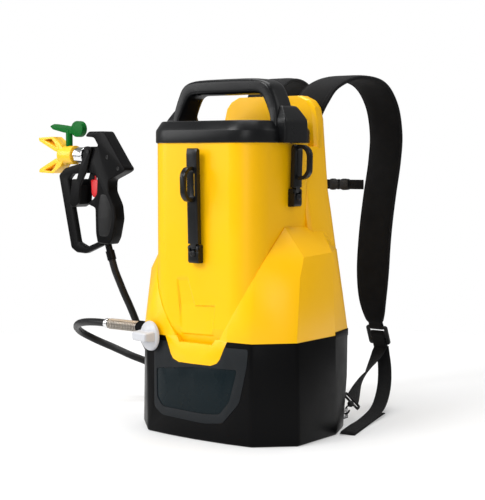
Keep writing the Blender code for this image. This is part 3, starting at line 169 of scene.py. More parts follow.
@dataclass(frozen=True)
class Moulding:
    """A moulded plastic: fine grain, faint flow marks in its colour and dull patches from handling."""

    name: str
    colour: Triple
    roughness: float
    grain: float = 0.03
    variation: float = 0.05
    specular: float = 0.5
    grain_scale: float = 1500.0
    flow_scale: float = 11.0
    wear_scale: float = 26.0

    def build(self) -> Material:
        """Makes the material.

        Returns:
            The material, all of it on object coordinates.
        """
        graph = Graph(self.name)
        place = graph.coordinates("Object")
        flow = graph.span(graph.noise(place, self.flow_scale, 4.0), 0.0, 1.0)
        wear = graph.noise(place, self.wear_scale, 5.0)
        dark, light = scaled(self.colour, 1 - self.variation), scaled(self.colour, 1 + self.variation)
        return graph.dressed({
            "Base Color": graph.blend(flow, dark, light),
            "Roughness": graph.span(wear, self.roughness - 0.05, self.roughness + 0.06),
            "Specular IOR Level": self.specular,
            "Normal": graph.bump(graph.noise(place, self.grain_scale, 2.0), self.grain),
        })


@dataclass(frozen=True)
class Metal:
    """A metal: plated, brushed or bare, with streaks that follow one axis."""

    name: str
    colour: Triple
    roughness: float
    streak: Triple = (400.0, 400.0, 60.0)
    tarnish: float = 0.15
    patch_scale: float = 140.0
    relief: float = 0.012

    def build(self) -> Material:
        """Makes the material.

        Returns:
            The material, all of it on object coordinates.
        """
        graph = Graph(self.name)
        place = graph.coordinates("Object")
        stretched = graph.node("ShaderNodeMapping", {"Vector": place, "Scale": self.streak}, "Vector")
        streaks = graph.noise(stretched, 1.0, 4.0)
        patches = graph.span(graph.noise(place, self.patch_scale, 4.0), 0.0, 1.0)
        return graph.dressed({
            "Base Color": graph.blend(patches, self.colour, scaled(self.colour, 1 - self.tarnish)),
            "Roughness": graph.span(streaks, self.roughness - 0.06, self.roughness + 0.1),
            "Metallic": 1.0,
            "Normal": graph.bump(streaks, self.relief),
        })


@dataclass(frozen=True)
class Weave:
    """A woven cloth or tape on the piece's own UV map, whose U and V are metres across and along it.

    The band scale makes one of Blender's wave bands to each pitch.
    """

    name: str
    colour: Triple
    pitch_across: float
    pitch_along: float
    relief: float
    fuzz_scale: float = 2600.0
    wear_scale: float = 45.0
    band_scale: float = 0.314159

    def build(self) -> Material:
        """Makes the material: threads that run both ways cross as a product of two bands.

        Returns:
            The material, on the UV map.
        """
        graph = Graph(self.name)
        place = graph.coordinates("UV")
        bands = [
            graph.node(
                "ShaderNodeTexWave", {"Vector": place, "Scale": self.band_scale / (pitch * MM)}, "Fac",
                bands_direction=direction, wave_profile="SIN",
            )
            for direction, pitch in (("X", self.pitch_across), ("Y", self.pitch_along))
        ]
        fuzz = graph.noise(place, self.fuzz_scale, 3.0)
        threads = graph.reckon("MULTIPLY", *bands)
        height = graph.reckon("ADD", threads, graph.reckon("MULTIPLY", fuzz, fuzz))
        wear = graph.span(graph.noise(place, self.wear_scale, 5.0), 0.0, 0.5)
        share = graph.reckon("ADD", wear, graph.reckon("MULTIPLY", threads, fuzz))
        return graph.dressed({
            "Base Color": graph.blend(share, scaled(self.colour, 0.7), scaled(self.colour, 1.8)),
            "Roughness": graph.span(fuzz, 0.72, 0.92),
            "Sheen Weight": 0.06,
            "Sheen Roughness": 0.45,
            "Specular IOR Level": 0.12,
            "Normal": graph.bump(height, self.relief),
        })


@dataclass(frozen=True)
class HoseCover:
    """The smooth rubber cover of the paint hose, with faint scuffs."""

    name: str
    colour: Triple
    scuff_scale: float = 60.0
    grain_scale: float = 1200.0
    grain: float = 0.03

    def build(self) -> Material:
        """Makes the material.

        Returns:
            The material, on object coordinates.
        """
        graph = Graph(self.name)
        place = graph.coordinates("Object")
        scuff = graph.noise(place, self.scuff_scale, 6.0)
        return graph.dressed({
            "Base Color": graph.blend(graph.span(scuff, 0.0, 1.0), self.colour, scaled(self.colour, 1.7)),
            "Roughness": graph.span(scuff, 0.36, 0.52),
            "Specular IOR Level": 0.25,
            "Normal": graph.bump(graph.noise(place, self.grain_scale, 2.0), self.grain),
        })


class Look(Enum):
    """The finishes of this object."""

    YELLOW = Moulding("tank_yellow", (1.0, 0.525, 0.0), 0.33, 0.006, 0.015, 0.26)
    BLACK = Moulding("moulded_black", (0.002, 0.002, 0.0023), 0.38, 0.03, 0.15, 0.07)
    CHARCOAL = Moulding("lid_charcoal", (0.005, 0.0053, 0.006), 0.3, 0.03, 0.1, 0.26)
    GUN = Moulding("gun_black", (0.0025, 0.0025, 0.0028), 0.34, 0.03, 0.12, 0.09)
    GRIP = Moulding("grip_black", (0.004, 0.004, 0.0045), 0.45, 0.05, 0.15, 0.3)
    BADGE_FRAME = Moulding("badge_grey", (0.0125, 0.0145, 0.0165), 0.5, 0.06, 0.08, 0.14)
    BADGE_FIELD = Moulding("badge_dark", (0.0035, 0.0085, 0.011), 0.28, 0.01, 0.1, 0.12)
    KNOB = Moulding("knob_white", (0.55, 0.56, 0.59), 0.36, 0.02, 0.02)
    GREEN = Moulding("tip_green", (0.001, 0.115, 0.014), 0.34, 0.02, 0.08, 0.1)
    TIP_YELLOW = Moulding("guard_yellow", (1.0, 0.56, 0.02), 0.36, 0.02, 0.03)
    RED = Moulding("lock_red", (0.64, 0.006, 0.01), 0.34, 0.02)
    RUBBER = Moulding("rubber_seal", (0.012, 0.012, 0.012), 0.75, 0.05, 0.2)
    CASING = Moulding("motor_dark", (0.03, 0.03, 0.035), 0.5)
    THREAD = Moulding("thread_black", (0.02, 0.02, 0.021), 0.7, variation=0.2)
    STEEL = Metal("plated_steel", (0.56, 0.56, 0.57), 0.28)
    SPRING = Metal("spring_steel", (0.66, 0.6, 0.53), 0.26, streak=(900.0, 900.0, 900.0))
    CHROME = Metal("chrome_plate", (0.8, 0.8, 0.81), 0.12, tarnish=0.06)
    NUT = Metal("nut_bronze", (0.40, 0.30, 0.2), 0.3)
    ALLOY = Metal("cast_alloy", (0.5, 0.5, 0.52), 0.45)
    HOSE = HoseCover("hose_black", (0.0045, 0.0045, 0.005))
    PAD = Weave("pad_fabric", (0.0045, 0.0045, 0.005), 1.1, 1.1, 0.12)
    TAPE = Weave("webbing_tape", (0.006, 0.006, 0.0065), 1.9, 1.1, 0.28)


@cache
def paint(look: Look) -> Material:
    """Makes a look's material once, when it is first asked for."""
    return look.value.build()


# ---- lines and meshes


def unit(vectors: Array) -> Array:
    """Scales vectors to a length of one, along the last axis."""
    return vectors / np.linalg.norm(vectors, axis=-1, keepdims=True)


def walked(path: Array) -> Array:
    """Gives the distance walked along a path at each of its points."""
    return np.concatenate([[0], np.cumsum(np.linalg.norm(np.diff(path, axis=0), axis=1))])


def read_along(line: Array, steps: Array, stops: Array) -> Array:
    """Gives a line's columns at some distances along it, from the distances of its own points."""
    return np.stack([np.interp(stops, steps, column) for column in line.T], axis=-1)


def eased(share: Array) -> Array:
    """Makes a share of 0 to 1 start and end level: s * s * (3 - 2 * s)."""
    return share * share * (3 - 2 * share)


def ring(count: int, power: float = 1.0) -> tuple[Array, Array]:
    """Gives a closed outline of signed powers of cosine and sine: 1 is a circle, towards 0 a square."""
    angle = 2 * np.pi * np.arange(count) / count
    return tuple(np.sign(row) * np.abs(row) ** power for row in (np.cos(angle), np.sin(angle)))


def rounded_outline(half: float, front: float, back: float, radius: float, arc: int, straight: int) -> Array:
    """Gives a rectangle with quarter circles at its corners, anticlockwise from the right of the front.

    Args:
        half: half its width.
        front: its lowest Y.
        back: its highest Y.
        radius: the corners' radius.
        arc: points on each corner.
        straight: points on each side.

    Returns:
        An array of points with X and Y.
    """
    x, low, high = half - radius, front + radius, back - radius
    arcs = []
    for k, centre in enumerate(((x, low), (x, high), (-x, high), (-x, low))):
        angle = np.radians(90 * k - 90 + 90 * np.linspace(0, 1, arc))
        arcs.append(centre + radius * np.stack([np.cos(angle), np.sin(angle)], axis=1))
    share = np.linspace(0, 1, straight + 2)[1:-1, None]
    sides = [here[-1] * (1 - share) + after[0] * share for here, after in zip(arcs, arcs[1:] + arcs[:1])]
    return np.concatenate([part for pair in zip(arcs, sides) for part in pair])


def smooth_path(points: list[Triple] | Array, count: int) -> Array:
    """Carries a smooth curve through points: cubic pieces whose slope at a point is that of its neighbours.

    Args:
        points: what it passes through.
        count: how many points are wanted, evenly spaced along it.

    Returns:
        The points, count by 3.
    """
    knots = np.asarray(points, float)
    knots = np.concatenate([[2 * knots[0] - knots[1]], knots, [2 * knots[-1] - knots[-2]]])
    a, b, c, d = knots[:-3, None], knots[1:-2, None], knots[2:-1, None], knots[3:, None]
    t = np.linspace(0, 1, 25)[None, :-1, None]
    fine = 0.5 * (2 * b + (c - a) * t + (2 * a - 5 * b + 4 * c - d) * t**2 + (3 * b - a - 3 * c + d) * t**3)
    fine = np.concatenate([fine.reshape(-1, 3), knots[-2:-1]])
    steps = walked(fine)
    return read_along(fine, steps, np.linspace(0, steps[-1], count))


def fine_profile(corners: tuple, radius: float, steps: int = 4) -> list[Array]:
    """Rounds the inner corners of an open profile with quadratic curves.

    Args:
        corners: the profile's corners.
        radius: how far from a corner its curve starts.
        steps: pieces to a curve.

    Returns:
        The finer profile.
    """
    points = np.array(corners, float)
    made = [points[:1]]
    t = np.linspace(0, 1, steps + 1)[:, None]
    for before, corner, after in zip(points, points[1:], points[2:]):
        reach = min(radius, 0.45 * np.linalg.norm(before - corner), 0.45 * np.linalg.norm(after - corner))
        start = corner + unit(before - corner) * reach
        end = corner + unit(after - corner) * reach
        made.append((1 - t) ** 2 * start + 2 * t * (1 - t) * corner + t**2 * end)
    return list(np.concatenate([*made, points[-1:]]))


def swept(path: Array, side: Array, face: Array, wide: Array, high: Array) -> Array:
    """Carries a section along a path, a ring to each of its points: path + side * wide + face * high."""
    return path[:, None] + side[:, None] * wide[..., None] + face[:, None] * high[..., None]


def placed(name: str, data: bpy.types.ID) -> Piece:
    """Makes an object of a mesh, curve, lamp or camera and links it to the scene."""
    bpy.context.scene.collection.objects.link(made := bpy.data.objects.new(name, data))
    return made


def merge(mesh: bpy.types.Mesh, reach: float, flat: float = 0.0) -> None:
    """Joins a mesh's doubled vertices and turns its faces outwards.

    Args:
        mesh: the mesh.
        reach: how far apart doubles lie.
        flat: the turn in degrees under which faces become one, or 0.
    """
    bm = bmesh.new()
    bm.from_mesh(mesh)
    bmesh.ops.remove_doubles(bm, verts=bm.verts, dist=reach)
    if flat:
        bmesh.ops.dissolve_limit(bm, angle_limit=math.radians(flat), verts=bm.verts, edges=bm.edges)
    bmesh.ops.recalc_face_normals(bm, faces=bm.faces)
    bm.to_mesh(mesh)
    bm.free()


def grid_object(name: str, points: Array, uvs: Array | None = None) -> Piece:
    """Makes closed tube-like surfaces of grids whose columns join up, smooth up to 40 degrees.

    Args:
        name: the object's name.
        points: rows by columns by 3, each row a closed ring, or several such grids.
        uvs: rows by columns by 2, in metres.

    Returns:
        The object, with a face over each grid's first and last rings.
    """
    rows, columns = points.shape[-3:-1]
    number = np.arange(points.size // 3).reshape(-1, rows, columns)
    after = np.roll(number, -1, axis=2)
    quads = np.stack([number[:, :-1], after[:, :-1], after[:, 1:], number[:, 1:]], axis=-1)
    faces = quads.reshape(-1, 4).tolist() + number[:, 0, ::-1].tolist() + number[:, -1].tolist()
    mesh = bpy.data.meshes.new(name)
    mesh.from_pydata(points.reshape(-1, 3), [], faces)
    if uvs is not None:
        layer = mesh.uv_layers.new(name="UVMap")
        corner = np.empty(len(mesh.loops), np.int32)
        mesh.loops.foreach_get("vertex_index", corner)
        layer.data.foreach_set("uv", uvs.reshape(-1, 2)[corner].astype(np.float32).ravel())
    mesh.validate()
    merge(mesh, 0.0001 * MM)
    mesh.shade_smooth()
    mesh.set_sharp_from_angle(angle=math.radians(40))
    return placed(name, mesh)


def lathe(name: str, profile: tuple | list, origin: Triple, axis: Triple, sides: int) -> Piece:
    """Turns a profile about an axis: each ring is a circle of the profile's radius at its height.

    Args:
        name: the object's name.
        profile: radius and height pairs, in millimetres.
        origin: where height 0 is, in metres.
        axis: the direction of height.
        sides: points round each ring.

    Returns:
        The closed object.
    """
    lengths = np.array(profile, float) * MM
    turn = np.array(Vector(axis).to_track_quat("Z", "Y").to_matrix())
    c, s = ring(sides)
    points = lengths[:, 0, None, None] * np.stack([c, s, 0 * c], axis=1)
    points = points + lengths[:, 1, None, None] * np.array([0, 0, 1.0])
    return grid_object(name, np.array(origin) + points @ turn.T)


def finish(made: Piece, look: Look, body: str = "sprayer", nodes: tuple[str, ...] = ()) -> Piece:
    """Paints a piece, joins it to its body and hides the CAD pieces that it stands for.

    Args:
        made: the piece.
        look: its finish.
        body: what it moves with.
        nodes: the CAD pieces it replaces.

    Returns:
        The piece.
    """
    made.data.materials.append(paint(look))
    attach(made, body)
    if nodes:
        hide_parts(*nodes)
    LOG.info("%s: %s, on the %s", made.name, look.name.lower(), body)
    return made


# ---- moulded and turned pieces


@dataclass
class Softened:
    """A moulded or cast piece: the CAD piece's own form, its edges rounded as a mould leaves them."""

    frame: dict
    node: str
    look: Look
    radius: float
    body: str = "sprayer"
    segments: int = 3
    angle: float = 24.0

    def build(self) -> None:
        """Copies the CAD piece, joins its loose triangles, rounds its edges and puts it in its stead."""
        mesh = self.frame["nodes"][self.node].data.copy()
        mesh.materials.clear()
        merge(mesh, 0.004 * MM, 0.6)
        mesh.shade_smooth()
        made = placed(f"{self.node}_form", mesh)
        soft = made.modifiers.new("edges", "BEVEL")
        soft.width = self.radius * MM
        soft.segments = self.segments
        soft.limit_method = "ANGLE"
        soft.angle_limit = math.radians(self.angle)
        soft.use_clamp_overlap = True
        soft.harden_normals = True
        finish(made, self.look, self.body, (self.node,))


@dataclass
class Workings:
    """The pieces that keep their CAD form: pins, the hose swivel and what is hidden inside the base."""

    frame: dict
    looks: tuple = (
        (Look.GRIP, ("latch_pin_front", "latch_pin_right", "latch_pin_left", "trigger_pin")),
        (Look.GUN, ("hose_swivel",)), (Look.RUBBER, ("suction_tube",)), (Look.STEEL, ("inlet_strainer",)),
        (Look.ALLOY, ("piston_pump", "outlet_manifold", "gearbox")), (Look.CASING, ("motor", "battery_pack")),
    )

    def build(self) -> None:
        """Gives each piece its finish."""
        for look, names in self.looks:
            for name in names:
                mesh = self.frame["nodes"][name].data
                mesh.materials.clear()
                mesh.materials.append(paint(look))


@dataclass
class Shells:
    """A group of moulded or cast pieces, with rows of what Softened takes after the frame."""

    frame: dict
    rows: tuple = ()

    def build(self) -> None:
        """Softens the group's pieces."""
        for row in self.rows:
            Softened(self.frame, *row).build()


@dataclass
class Housing(Shells):
    """The base, cowl, lid, badge and latches with their brackets: moulded shells with softened edges."""

    rows: tuple = (
        ("cowl", Look.YELLOW, 1.6), ("base_housing", Look.BLACK, 1.4), ("badge_frame", Look.BADGE_FRAME, 0.6),
        ("badge_field", Look.BADGE_FIELD, 0.3), ("bottom_cover", Look.BLACK, 0.6),
        ("lid", Look.CHARCOAL, 1.6, "lid"), ("lid_gasket", Look.RUBBER, 0.3, "lid"),
        ("outlet_fitting", Look.BLACK, 0.5), ("prime_valve", Look.STEEL, 0.4),
        ("latch_front", Look.CHARCOAL, 1.2, "front_latch"), ("latch_bracket_front", Look.CHARCOAL, 0.7),
        ("latch_right", Look.CHARCOAL, 1.2, "right_latch"), ("latch_bracket_right", Look.CHARCOAL, 0.7),
        ("latch_left", Look.CHARCOAL, 1.2, "left_latch"), ("latch_bracket_left", Look.CHARCOAL, 0.7),
    )


@dataclass
class Tank:
    """The paint tank: a thin tub with big round corners and a stepped thumb pocket low on its front.

    The levels give the top and number of its finely spaced rows, then the foot and number of the others.
    """

    half: float = 104.5 * MM
    front: float = -100 * MM
    back: float = 80 * MM
    radius: float = 45 * MM
    wall: float = 3.5 * MM
    low: float = 146.3 * MM
    top: float = 476 * MM
    foot: float = 175 * MM
    foot_in: float = 7 * MM
    pocket: tuple = ((-42, 250), (-18, 251), (-5, 210), (35, 212), (30, 164), (-33, 163))
    pocket_deep: float = 3.2 * MM
    pocket_knee: float = 211 * MM
    pocket_edge: float = 2.4 * MM
    pocket_ease: float = 0.6
    levels: tuple = (250 * MM, 100, 256 * MM, 40)

    def drawn(self, height: Array) -> Array:
        """Works out how far the foot draws the wall in: evenly less from the tank's underside up."""
        return self.foot_in * (1 - np.clip((height - self.low) / (self.foot - self.low), 0, 1))

    def sunk(self, points: Array) -> Array:
        """Works out how deep the front's pocket is: its floor starts in the wall's plane and sinks upwards.

        Inside the L-shaped outline the depth grows up to the knee and eases off above it, less what the foot
        draws in. The distance to the nearest side makes a short smooth step, and the even-odd rule tells what
        is inside.

        Args:
            points: places on the wall.

        Returns:
            The depth at each place.
        """
        corners = np.array(self.pocket) * MM
        x, z = points[..., 0], points[..., 2]
        inside = np.zeros(x.shape, bool)
        nearest = np.full(x.shape, 1.0)
        for (ax, az), (bx, bz) in zip(corners, np.roll(corners, -1, axis=0)):
            run, climb = bx - ax, bz - az
            if climb:
                inside ^= ((az > z) != (bz > z)) & (x < ax + (z - az) * run / climb)
            share = np.clip(((x - ax) * run + (z - az) * climb) / (run**2 + climb**2), 0, 1)
            nearest = np.minimum(nearest, np.hypot(x - ax - share * run, z - az - share * climb))
        step = eased(np.clip(nearest / self.pocket_edge, 0, 1))
        low, knee, high = corners[:, 1].min(), self.pocket_knee, corners[:, 1].max()
        rising = np.clip((z - low) / (knee - low), 0, 1)
        easing = self.pocket_ease * np.clip((z - knee) / (high - knee), 0, 1)
        deep = (self.pocket_deep * (rising - easing) - self.drawn(z)) * step
        return np.where(inside & (points[..., 1] < self.front + 20 * MM), deep, 0)

    def build(self) -> None:
        """Makes the tub: its profile runs up the outside, over the rim and down the inside."""
        fine_top, fine_rows, plain_low, plain_rows = self.levels
        fine = np.linspace(self.low, fine_top, fine_rows)
        outside = np.concatenate([fine, np.linspace(plain_low, self.top - 1 * MM, plain_rows)])
        wall, top = self.wall, self.top
        rim = [(wall * 0.15, top - 0.2 * MM), (wall * 0.4, top), (wall * 0.8, top), (wall, top - 0.8 * MM)]
        inside = [(wall, self.foot), (self.foot_in + wall, self.low + wall)]
        profile = np.concatenate([np.stack([self.drawn(outside), outside], axis=1), np.array(rim + inside)])
        outline = rounded_outline(self.half, self.front, self.back, self.radius, 28, 90)
        normal = unit(np.roll(outline, -1, axis=0) - np.roll(outline, 1, axis=0))[:, ::-1] * np.array([1, -1])
        flat = outline[None] - normal[None] * profile[:, 0, None, None]
        height = np.broadcast_to(profile[:, 1, None, None], (*flat.shape[:2], 1))
        points = np.concatenate([flat, height], axis=2)
        count = len(outside)
        points[:count, :, 1] += self.sunk(points[:count])
        finish(grid_object("tank_shell", points), Look.YELLOW, nodes=("tank",))


@dataclass
class Handle:
    """The carry handle: a rounded arch over the lid, and a hood over each side latch.

    The arch's stations give x, z, thickness and depth. The hood's levels give height, its outer x and how far
    its front and back are drawn in.
    """

    stations: tuple = (
        (97.5, 486, 16, 52), (97.2, 499, 15.5, 49), (93, 514, 19, 45), (84.5, 533, 21, 44), (77, 543, 24, 44),
        (64, 548, 23.5, 44), (40, 549, 24.5, 44), (0, 549, 25, 44),
    )
    squareness: float = 0.42
    middle: float = -11.5 * MM
    hood_front: float = -34 * MM
    hood_back: float = 27 * MM
    hood_inner: float = 98 * MM
    hood_levels: tuple = (
        (460.5, 118.6, 0.7), (461.2, 119.4, 0.1), (475, 120, 0), (490, 120, 0), (497, 119.2, 0.8),
        (499.5, 118, 2), (507, 113, 5.5), (514, 108, 9), (517, 105.5, 11), (518, 102, 14),
    )
    hood_squareness: float = 0.16

    def arch(self) -> None:
        """Carries a rounded section along the arch's middle line, with both feet inside the lid's skin."""
        x, z, *sizes = np.array(self.stations, float).T
        half = np.column_stack([x, 0 * x, z, *sizes])
        whole = np.concatenate([half, half[-2::-1] * np.array([-1, 1, 1, 1, 1])]) * MM
        path = smooth_path(whole[:, :3], 130)
        steps = walked(whole[:, :3])
        stops = np.linspace(0, steps[-1], len(path))
        thick, deep = read_along(whole[:, 3:], steps, stops).T[..., None] / 2
        back = np.tile([0, 1.0, 0], (len(path), 1))
        out = np.cross(unit(np.gradient(path, axis=0)), back)
        a, b = ring(56, self.squareness)
        made = grid_object("handle_arch", swept(path, out, back, thick * a, self.middle + deep * b))
        finish(made, Look.CHARCOAL, "lid", ("carry_handle",))

    def hood(self, name: str) -> None:
        """Makes a latch's hood of outlines in plan, up to the arch's foot.

        Args:
            name: right or left.
        """
        levels, outer, draw = np.array(self.hood_levels).T[..., None] * MM
        half_x, half_y = (outer - self.hood_inner) / 2, (self.hood_back - self.hood_front) / 2 - draw
        a, b = ring(64, self.hood_squareness)
        x = self.hood_inner + half_x + half_x * a
        y = (self.hood_front + self.hood_back) / 2 + half_y * b
        points = np.stack([x * SIDES[name], y, levels + 0 * x], axis=-1)
        finish(grid_object(f"hood_{name}", points), Look.CHARCOAL, "lid")

    def build(self) -> None:
        """Makes the arch and both hoods."""
        self.arch()
        for name in SIDES:
            self.hood(name)


@dataclass
class Knob:
    """The white prime and spray knob: a domed disc with a raised grip bar across it."""

    seat: Triple = (-0.091, -0.1052, 0.1555)
    axis: Triple = (-0.25, -0.968, 0.0)
    profile: tuple = (
        (0.01, 13), (8, 12.5), (17, 9.5), (22.3, 5.4), (23.6, 3.4), (24, 0.3), (23.2, 0), (4.4, 0),
    )
    rounding: float = 2.5
    bar_half: float = 21 * MM
    bar_thick: float = 9.5 * MM
    bar_corner: float = 4.4 * MM
    bar_from: float = 2 * MM
    bar_to: float = 25 * MM
    bar_rise: tuple = (0, 0.55, 0.82, 0.93, 0.98, 1.0)
    bar_draw: tuple = (0, 1.6, 2.2, 2.9, 3.9, 5.4)

    def build(self) -> None:
        """Turns the disc, and stacks rounded outlines that draw in to make the grip bar."""
        disc = lathe("knob_disc", fine_profile(self.profile, self.rounding), self.seat, self.axis, 72)
        finish(disc, Look.KNOB, "knob", ("prime_knob",))
        out = np.array(Vector(self.axis).normalized())
        across = np.array([-out[1], out[0], 0])
        outline = rounded_outline(self.bar_half, -self.bar_thick, self.bar_thick, self.bar_corner, 8, 12)
        scale = 1 - np.array(self.bar_draw)[:, None] * MM / np.array([self.bar_half, self.bar_thick])
        flat = outline[None] * scale[:, None]
        level = self.bar_from + np.array(self.bar_rise) * (self.bar_to - self.bar_from)
        base = np.array(self.seat) + out * level[:, None]
        points = base[:, None] + flat[..., :1] * across + flat[..., 1:] * np.array([0, 0, 1.0])
        finish(grid_object("knob_bar", points), Look.KNOB, "knob")


@dataclass
class Screws:
    """Sunk screws in the gun's side, and the bolt heads low on the latch brackets."""

    gun_face: float = 13.0 * MM
    spots: tuple = ((-10, 158), (-36, 138))
    head: tuple = ((0.01, 0.1), (1.3, 0.1), (1.6, 0.5), (2.9, 0.7), (3.4, 0.4), (3.5, -0.6), (0.01, -0.6))
    cap: tuple = ((0.01, 1.6), (2.2, 1.6), (2.6, 2.2), (4.2, 1.7), (5.0, 0.6), (5.0, -3.0), (0.01, -3.0))
    bolts: tuple = (
        ("front", (2, -113.4, 291), (0, -1, 0)), ("right", (118.2, 4, 377), (1, 0, 0)),
        ("left", (-118.2, 4, 377), (-1, 0, 0)),
    )

    def build(self) -> None:
        """Turns each head: a shallow dome with a socket in its middle."""
        x, y, z = GUN_INLET
        for number, (along, up) in enumerate(self.spots):
            for label, side in (("a", -1), ("b", 1)):
                place = (x - along * MM, y + side * self.gun_face, z + up * MM)
                made = lathe(f"gun_screw_{number}_{label}", self.head, place, (0, side, 0), 24)
                finish(made, Look.GRIP, "gun")
        for name, place, axis in self.bolts:
            finish(lathe(f"bolt_{name}", self.cap, tuple(v * MM for v in place), axis, 32), Look.GRIP)


@dataclass
class GripPads:
    """The gun's grip pads: one soft oval body through the grip that stands proud of both flat sides.

    A station gives a height, how far the oval reaches back and front there, and half its thickness.
    """

    stations: tuple = (
        (16, -15, 15, 12.4), (19, -17.5, 16.4, 13.8), (25, -20, 17.2, 14.7), (36, -23, 17.8, 15.2),
        (50, -25.5, 18.2, 15.6), (65, -24.5, 18, 15.3), (80, -18.5, 15, 14.6), (90, -12.5, 12.5, 13.7),
        (94, -10, 10.5, 12.4),
    )
    rows: int = 90
    power: float = 0.62

    def build(self) -> None:
        """Lofts rounded ovals up the grip, each as deep and as thick as its station says."""
        stations = np.array(self.stations, float)
        up, back, front = smooth_path(stations[:, :3], self.rows).T
        thick = np.interp(up, stations[:, 0], stations[:, 3])
        a, b = ring(72, self.power)
        along = (back + front)[:, None] / 2 + (front - back)[:, None] / 2 * a
        points = np.stack(np.broadcast_arrays(-along, thick[:, None] * b, up[:, None]), axis=-1) * MM
        finish(grid_object("grip_pads", points + np.array(GUN_INLET)), Look.GRIP, "gun")


@dataclass
class Gun(Shells):
    """The spray gun: its body, trigger, lock, nut, tip and guard."""

    rows: tuple = (
        ("gun_body", Look.GUN, 3.0, "gun"), ("trigger", Look.GUN, 1.5, "trigger"),
        ("trigger_lock", Look.RED, 0.6, "lock"), ("housing_nut", Look.CHROME, 0.7, "gun"),
        ("gun_diffuser", Look.NUT, 0.5, "gun"), ("tip_guard", Look.TIP_YELLOW, 0.8, "tip_guard"),
        ("tip_key", Look.GREEN, 0.8, "tip"),
    )


# ---- hose


@dataclass
class Hose:
    """The paint hose from the outlet round the back of the base, coiled on the ground and up to the gun.

    The run lies between the outlet and the coil, the rise between the coil and the gun.
    """

    frame: dict
    diameter: float = 13 * MM
    outlet: tuple = (-45, 157)
    outlet_along: tuple = (-170, -205, -240)
    run: tuple = (
        (-272, -43, 156.7), (-316.7, -30, 151), (-354.4, -5, 139.2), (-376, 27, 123.6), (-369, 58, 106.3),
        (-341.1, 75, 92.6), (-306.6, 85, 79.7), (-282.3, 100, 68.8), (-260, 121, 52), (-248, 139, 31),
        (-237, 153, 14),
    )
    rise: tuple = (
        (-285, 159, 38), (-289, 130, 66), (-290.5, 108, 98), (-294.5, 93, 128), (-301, 80, 164),
        (-308.9, 66, 200), (-316.5, 56, 233),
    )
    coil_middle: tuple = (-200, 241)
    coil_radius: float = 71.5
    coil_turns: float = 2.75
    coil_step: float = 13.5
    coil_low: float = 6.8
    coil_layer: float = 13.7
    inlet_along: Triple = (0.26, 0.963, -0.07)
    inlet_points: tuple = (-44, -34, -25)
    spring: tuple = (-172 * MM, -236 * MM, 8.3 * MM, 0.9 * MM, 18)
    ferrule_at: float = -237.6 * MM
    ferrule_profile: tuple = (
        (6.6, 0), (8.4, 0.3), (8.6, 1), (8.1, 2.4), (8.6, 3.8), (8.6, 6.8), (7.5, 9.2), (6.6, 9.3),
    )

    def coil(self) -> Array:
        """Lays the coil: an inward and outward spiral, the second half one layer higher.

        Returns:
            The coil's points, 14 to a turn, in millimetres.
        """
        total = 2 * np.pi * self.coil_turns
        turned = np.linspace(0, total, 40)
        inwards = 1 - np.abs(2 * turned / total - 1)
        radius = self.coil_radius + self.coil_step * self.coil_turns / 2 * (0.5 - inwards)
        climb = eased(np.clip((turned - total / 2) / np.pi + 0.5, 0, 1))
        angle = turned - np.pi / 2
        x = self.coil_middle[0] + radius * np.cos(angle)
        y = self.coil_middle[1] + radius * np.sin(angle)
        return np.stack([x, y, self.coil_low + climb * self.coil_layer], axis=1)

    def route(self) -> Array:
        """Strings the run from the outlet, the coil and the rise to the gun together.

        Returns:
            The points of one open line.
        """
        outlet = [(x, *self.outlet) for x in self.outlet_along]
        coil = self.coil()
        start, end = coil[0] - np.array([13, 0, 0]), coil[-1]
        leaving = (end[0] - 0.5, end[1] - 30, 22.5)
        a, b, c = unit(np.array(self.inlet_along))
        inlet = np.array(GUN_INLET) / MM + np.outer(self.inlet_points, (-a, c, b))
        return np.concatenate([outlet, self.run, [start], coil, [leaving], self.rise, inlet]) * MM

    def build(self) -> None:
        """Makes the hose as one curve with a round section, then its strain relief spring and ferrule."""
        fine = smooth_path(smooth_path(self.route(), 96), 420)
        curve = bpy.data.curves.new("hose_line", "CURVE")
        curve.dimensions = "3D"
        spline = curve.splines.new("POLY")
        spline.points.add(len(fine) - 1)
        weighted = np.column_stack([fine, np.ones(len(fine))])
        spline.points.foreach_set("co", weighted.astype(np.float32).ravel())
        curve.bevel_depth = self.diameter / 2
        curve.bevel_resolution = 6
        curve.use_fill_caps = True
        nodes = ("hose_outlet_run", "hose_coil", "hose_gun_run")
        made = finish(placed("hose_line", curve), Look.HOSE, nodes=nodes)
        self.relief()
        pieces = (self.frame["nodes"]["hose_swivel"], self.ferrule())

    def relief(self) -> None:
        """Winds the strain relief: a round wire carried along a helix about the outlet's line."""
        start, end, radius, wire, turns = self.spring
        t = np.linspace(0, turns, turns * 24 + 1)
        c, s = np.cos(2 * np.pi * t), np.sin(2 * np.pi * t)
        y, z = (v * MM for v in self.outlet)
        path = np.stack([np.linspace(start, end, len(t)), y + radius * c, z + radius * s], axis=1)
        out = np.stack([0 * t, c, s], axis=1)
        side = np.cross(unit(np.gradient(path, axis=0)), out)
        wide, high = (wire * row[None] for row in ring(10))
        made = grid_object("relief_spring", swept(path, out, side, wide, high))
        finish(made, Look.SPRING, nodes=("strain_relief_spring",))

    def ferrule(self) -> Piece:
        """Turns the crimped ferrule at the far end of the spring.

        Returns:
            The ferrule.
        """
        place = (self.ferrule_at, *(v * MM for v in self.outlet))
        made = lathe("ferrule_ring", fine_profile(self.ferrule_profile, 0.5, 3), place, (-1, 0, 0), 40)
        return finish(made, Look.CHROME, nodes=("hose_ferrule",))


# ---- straps


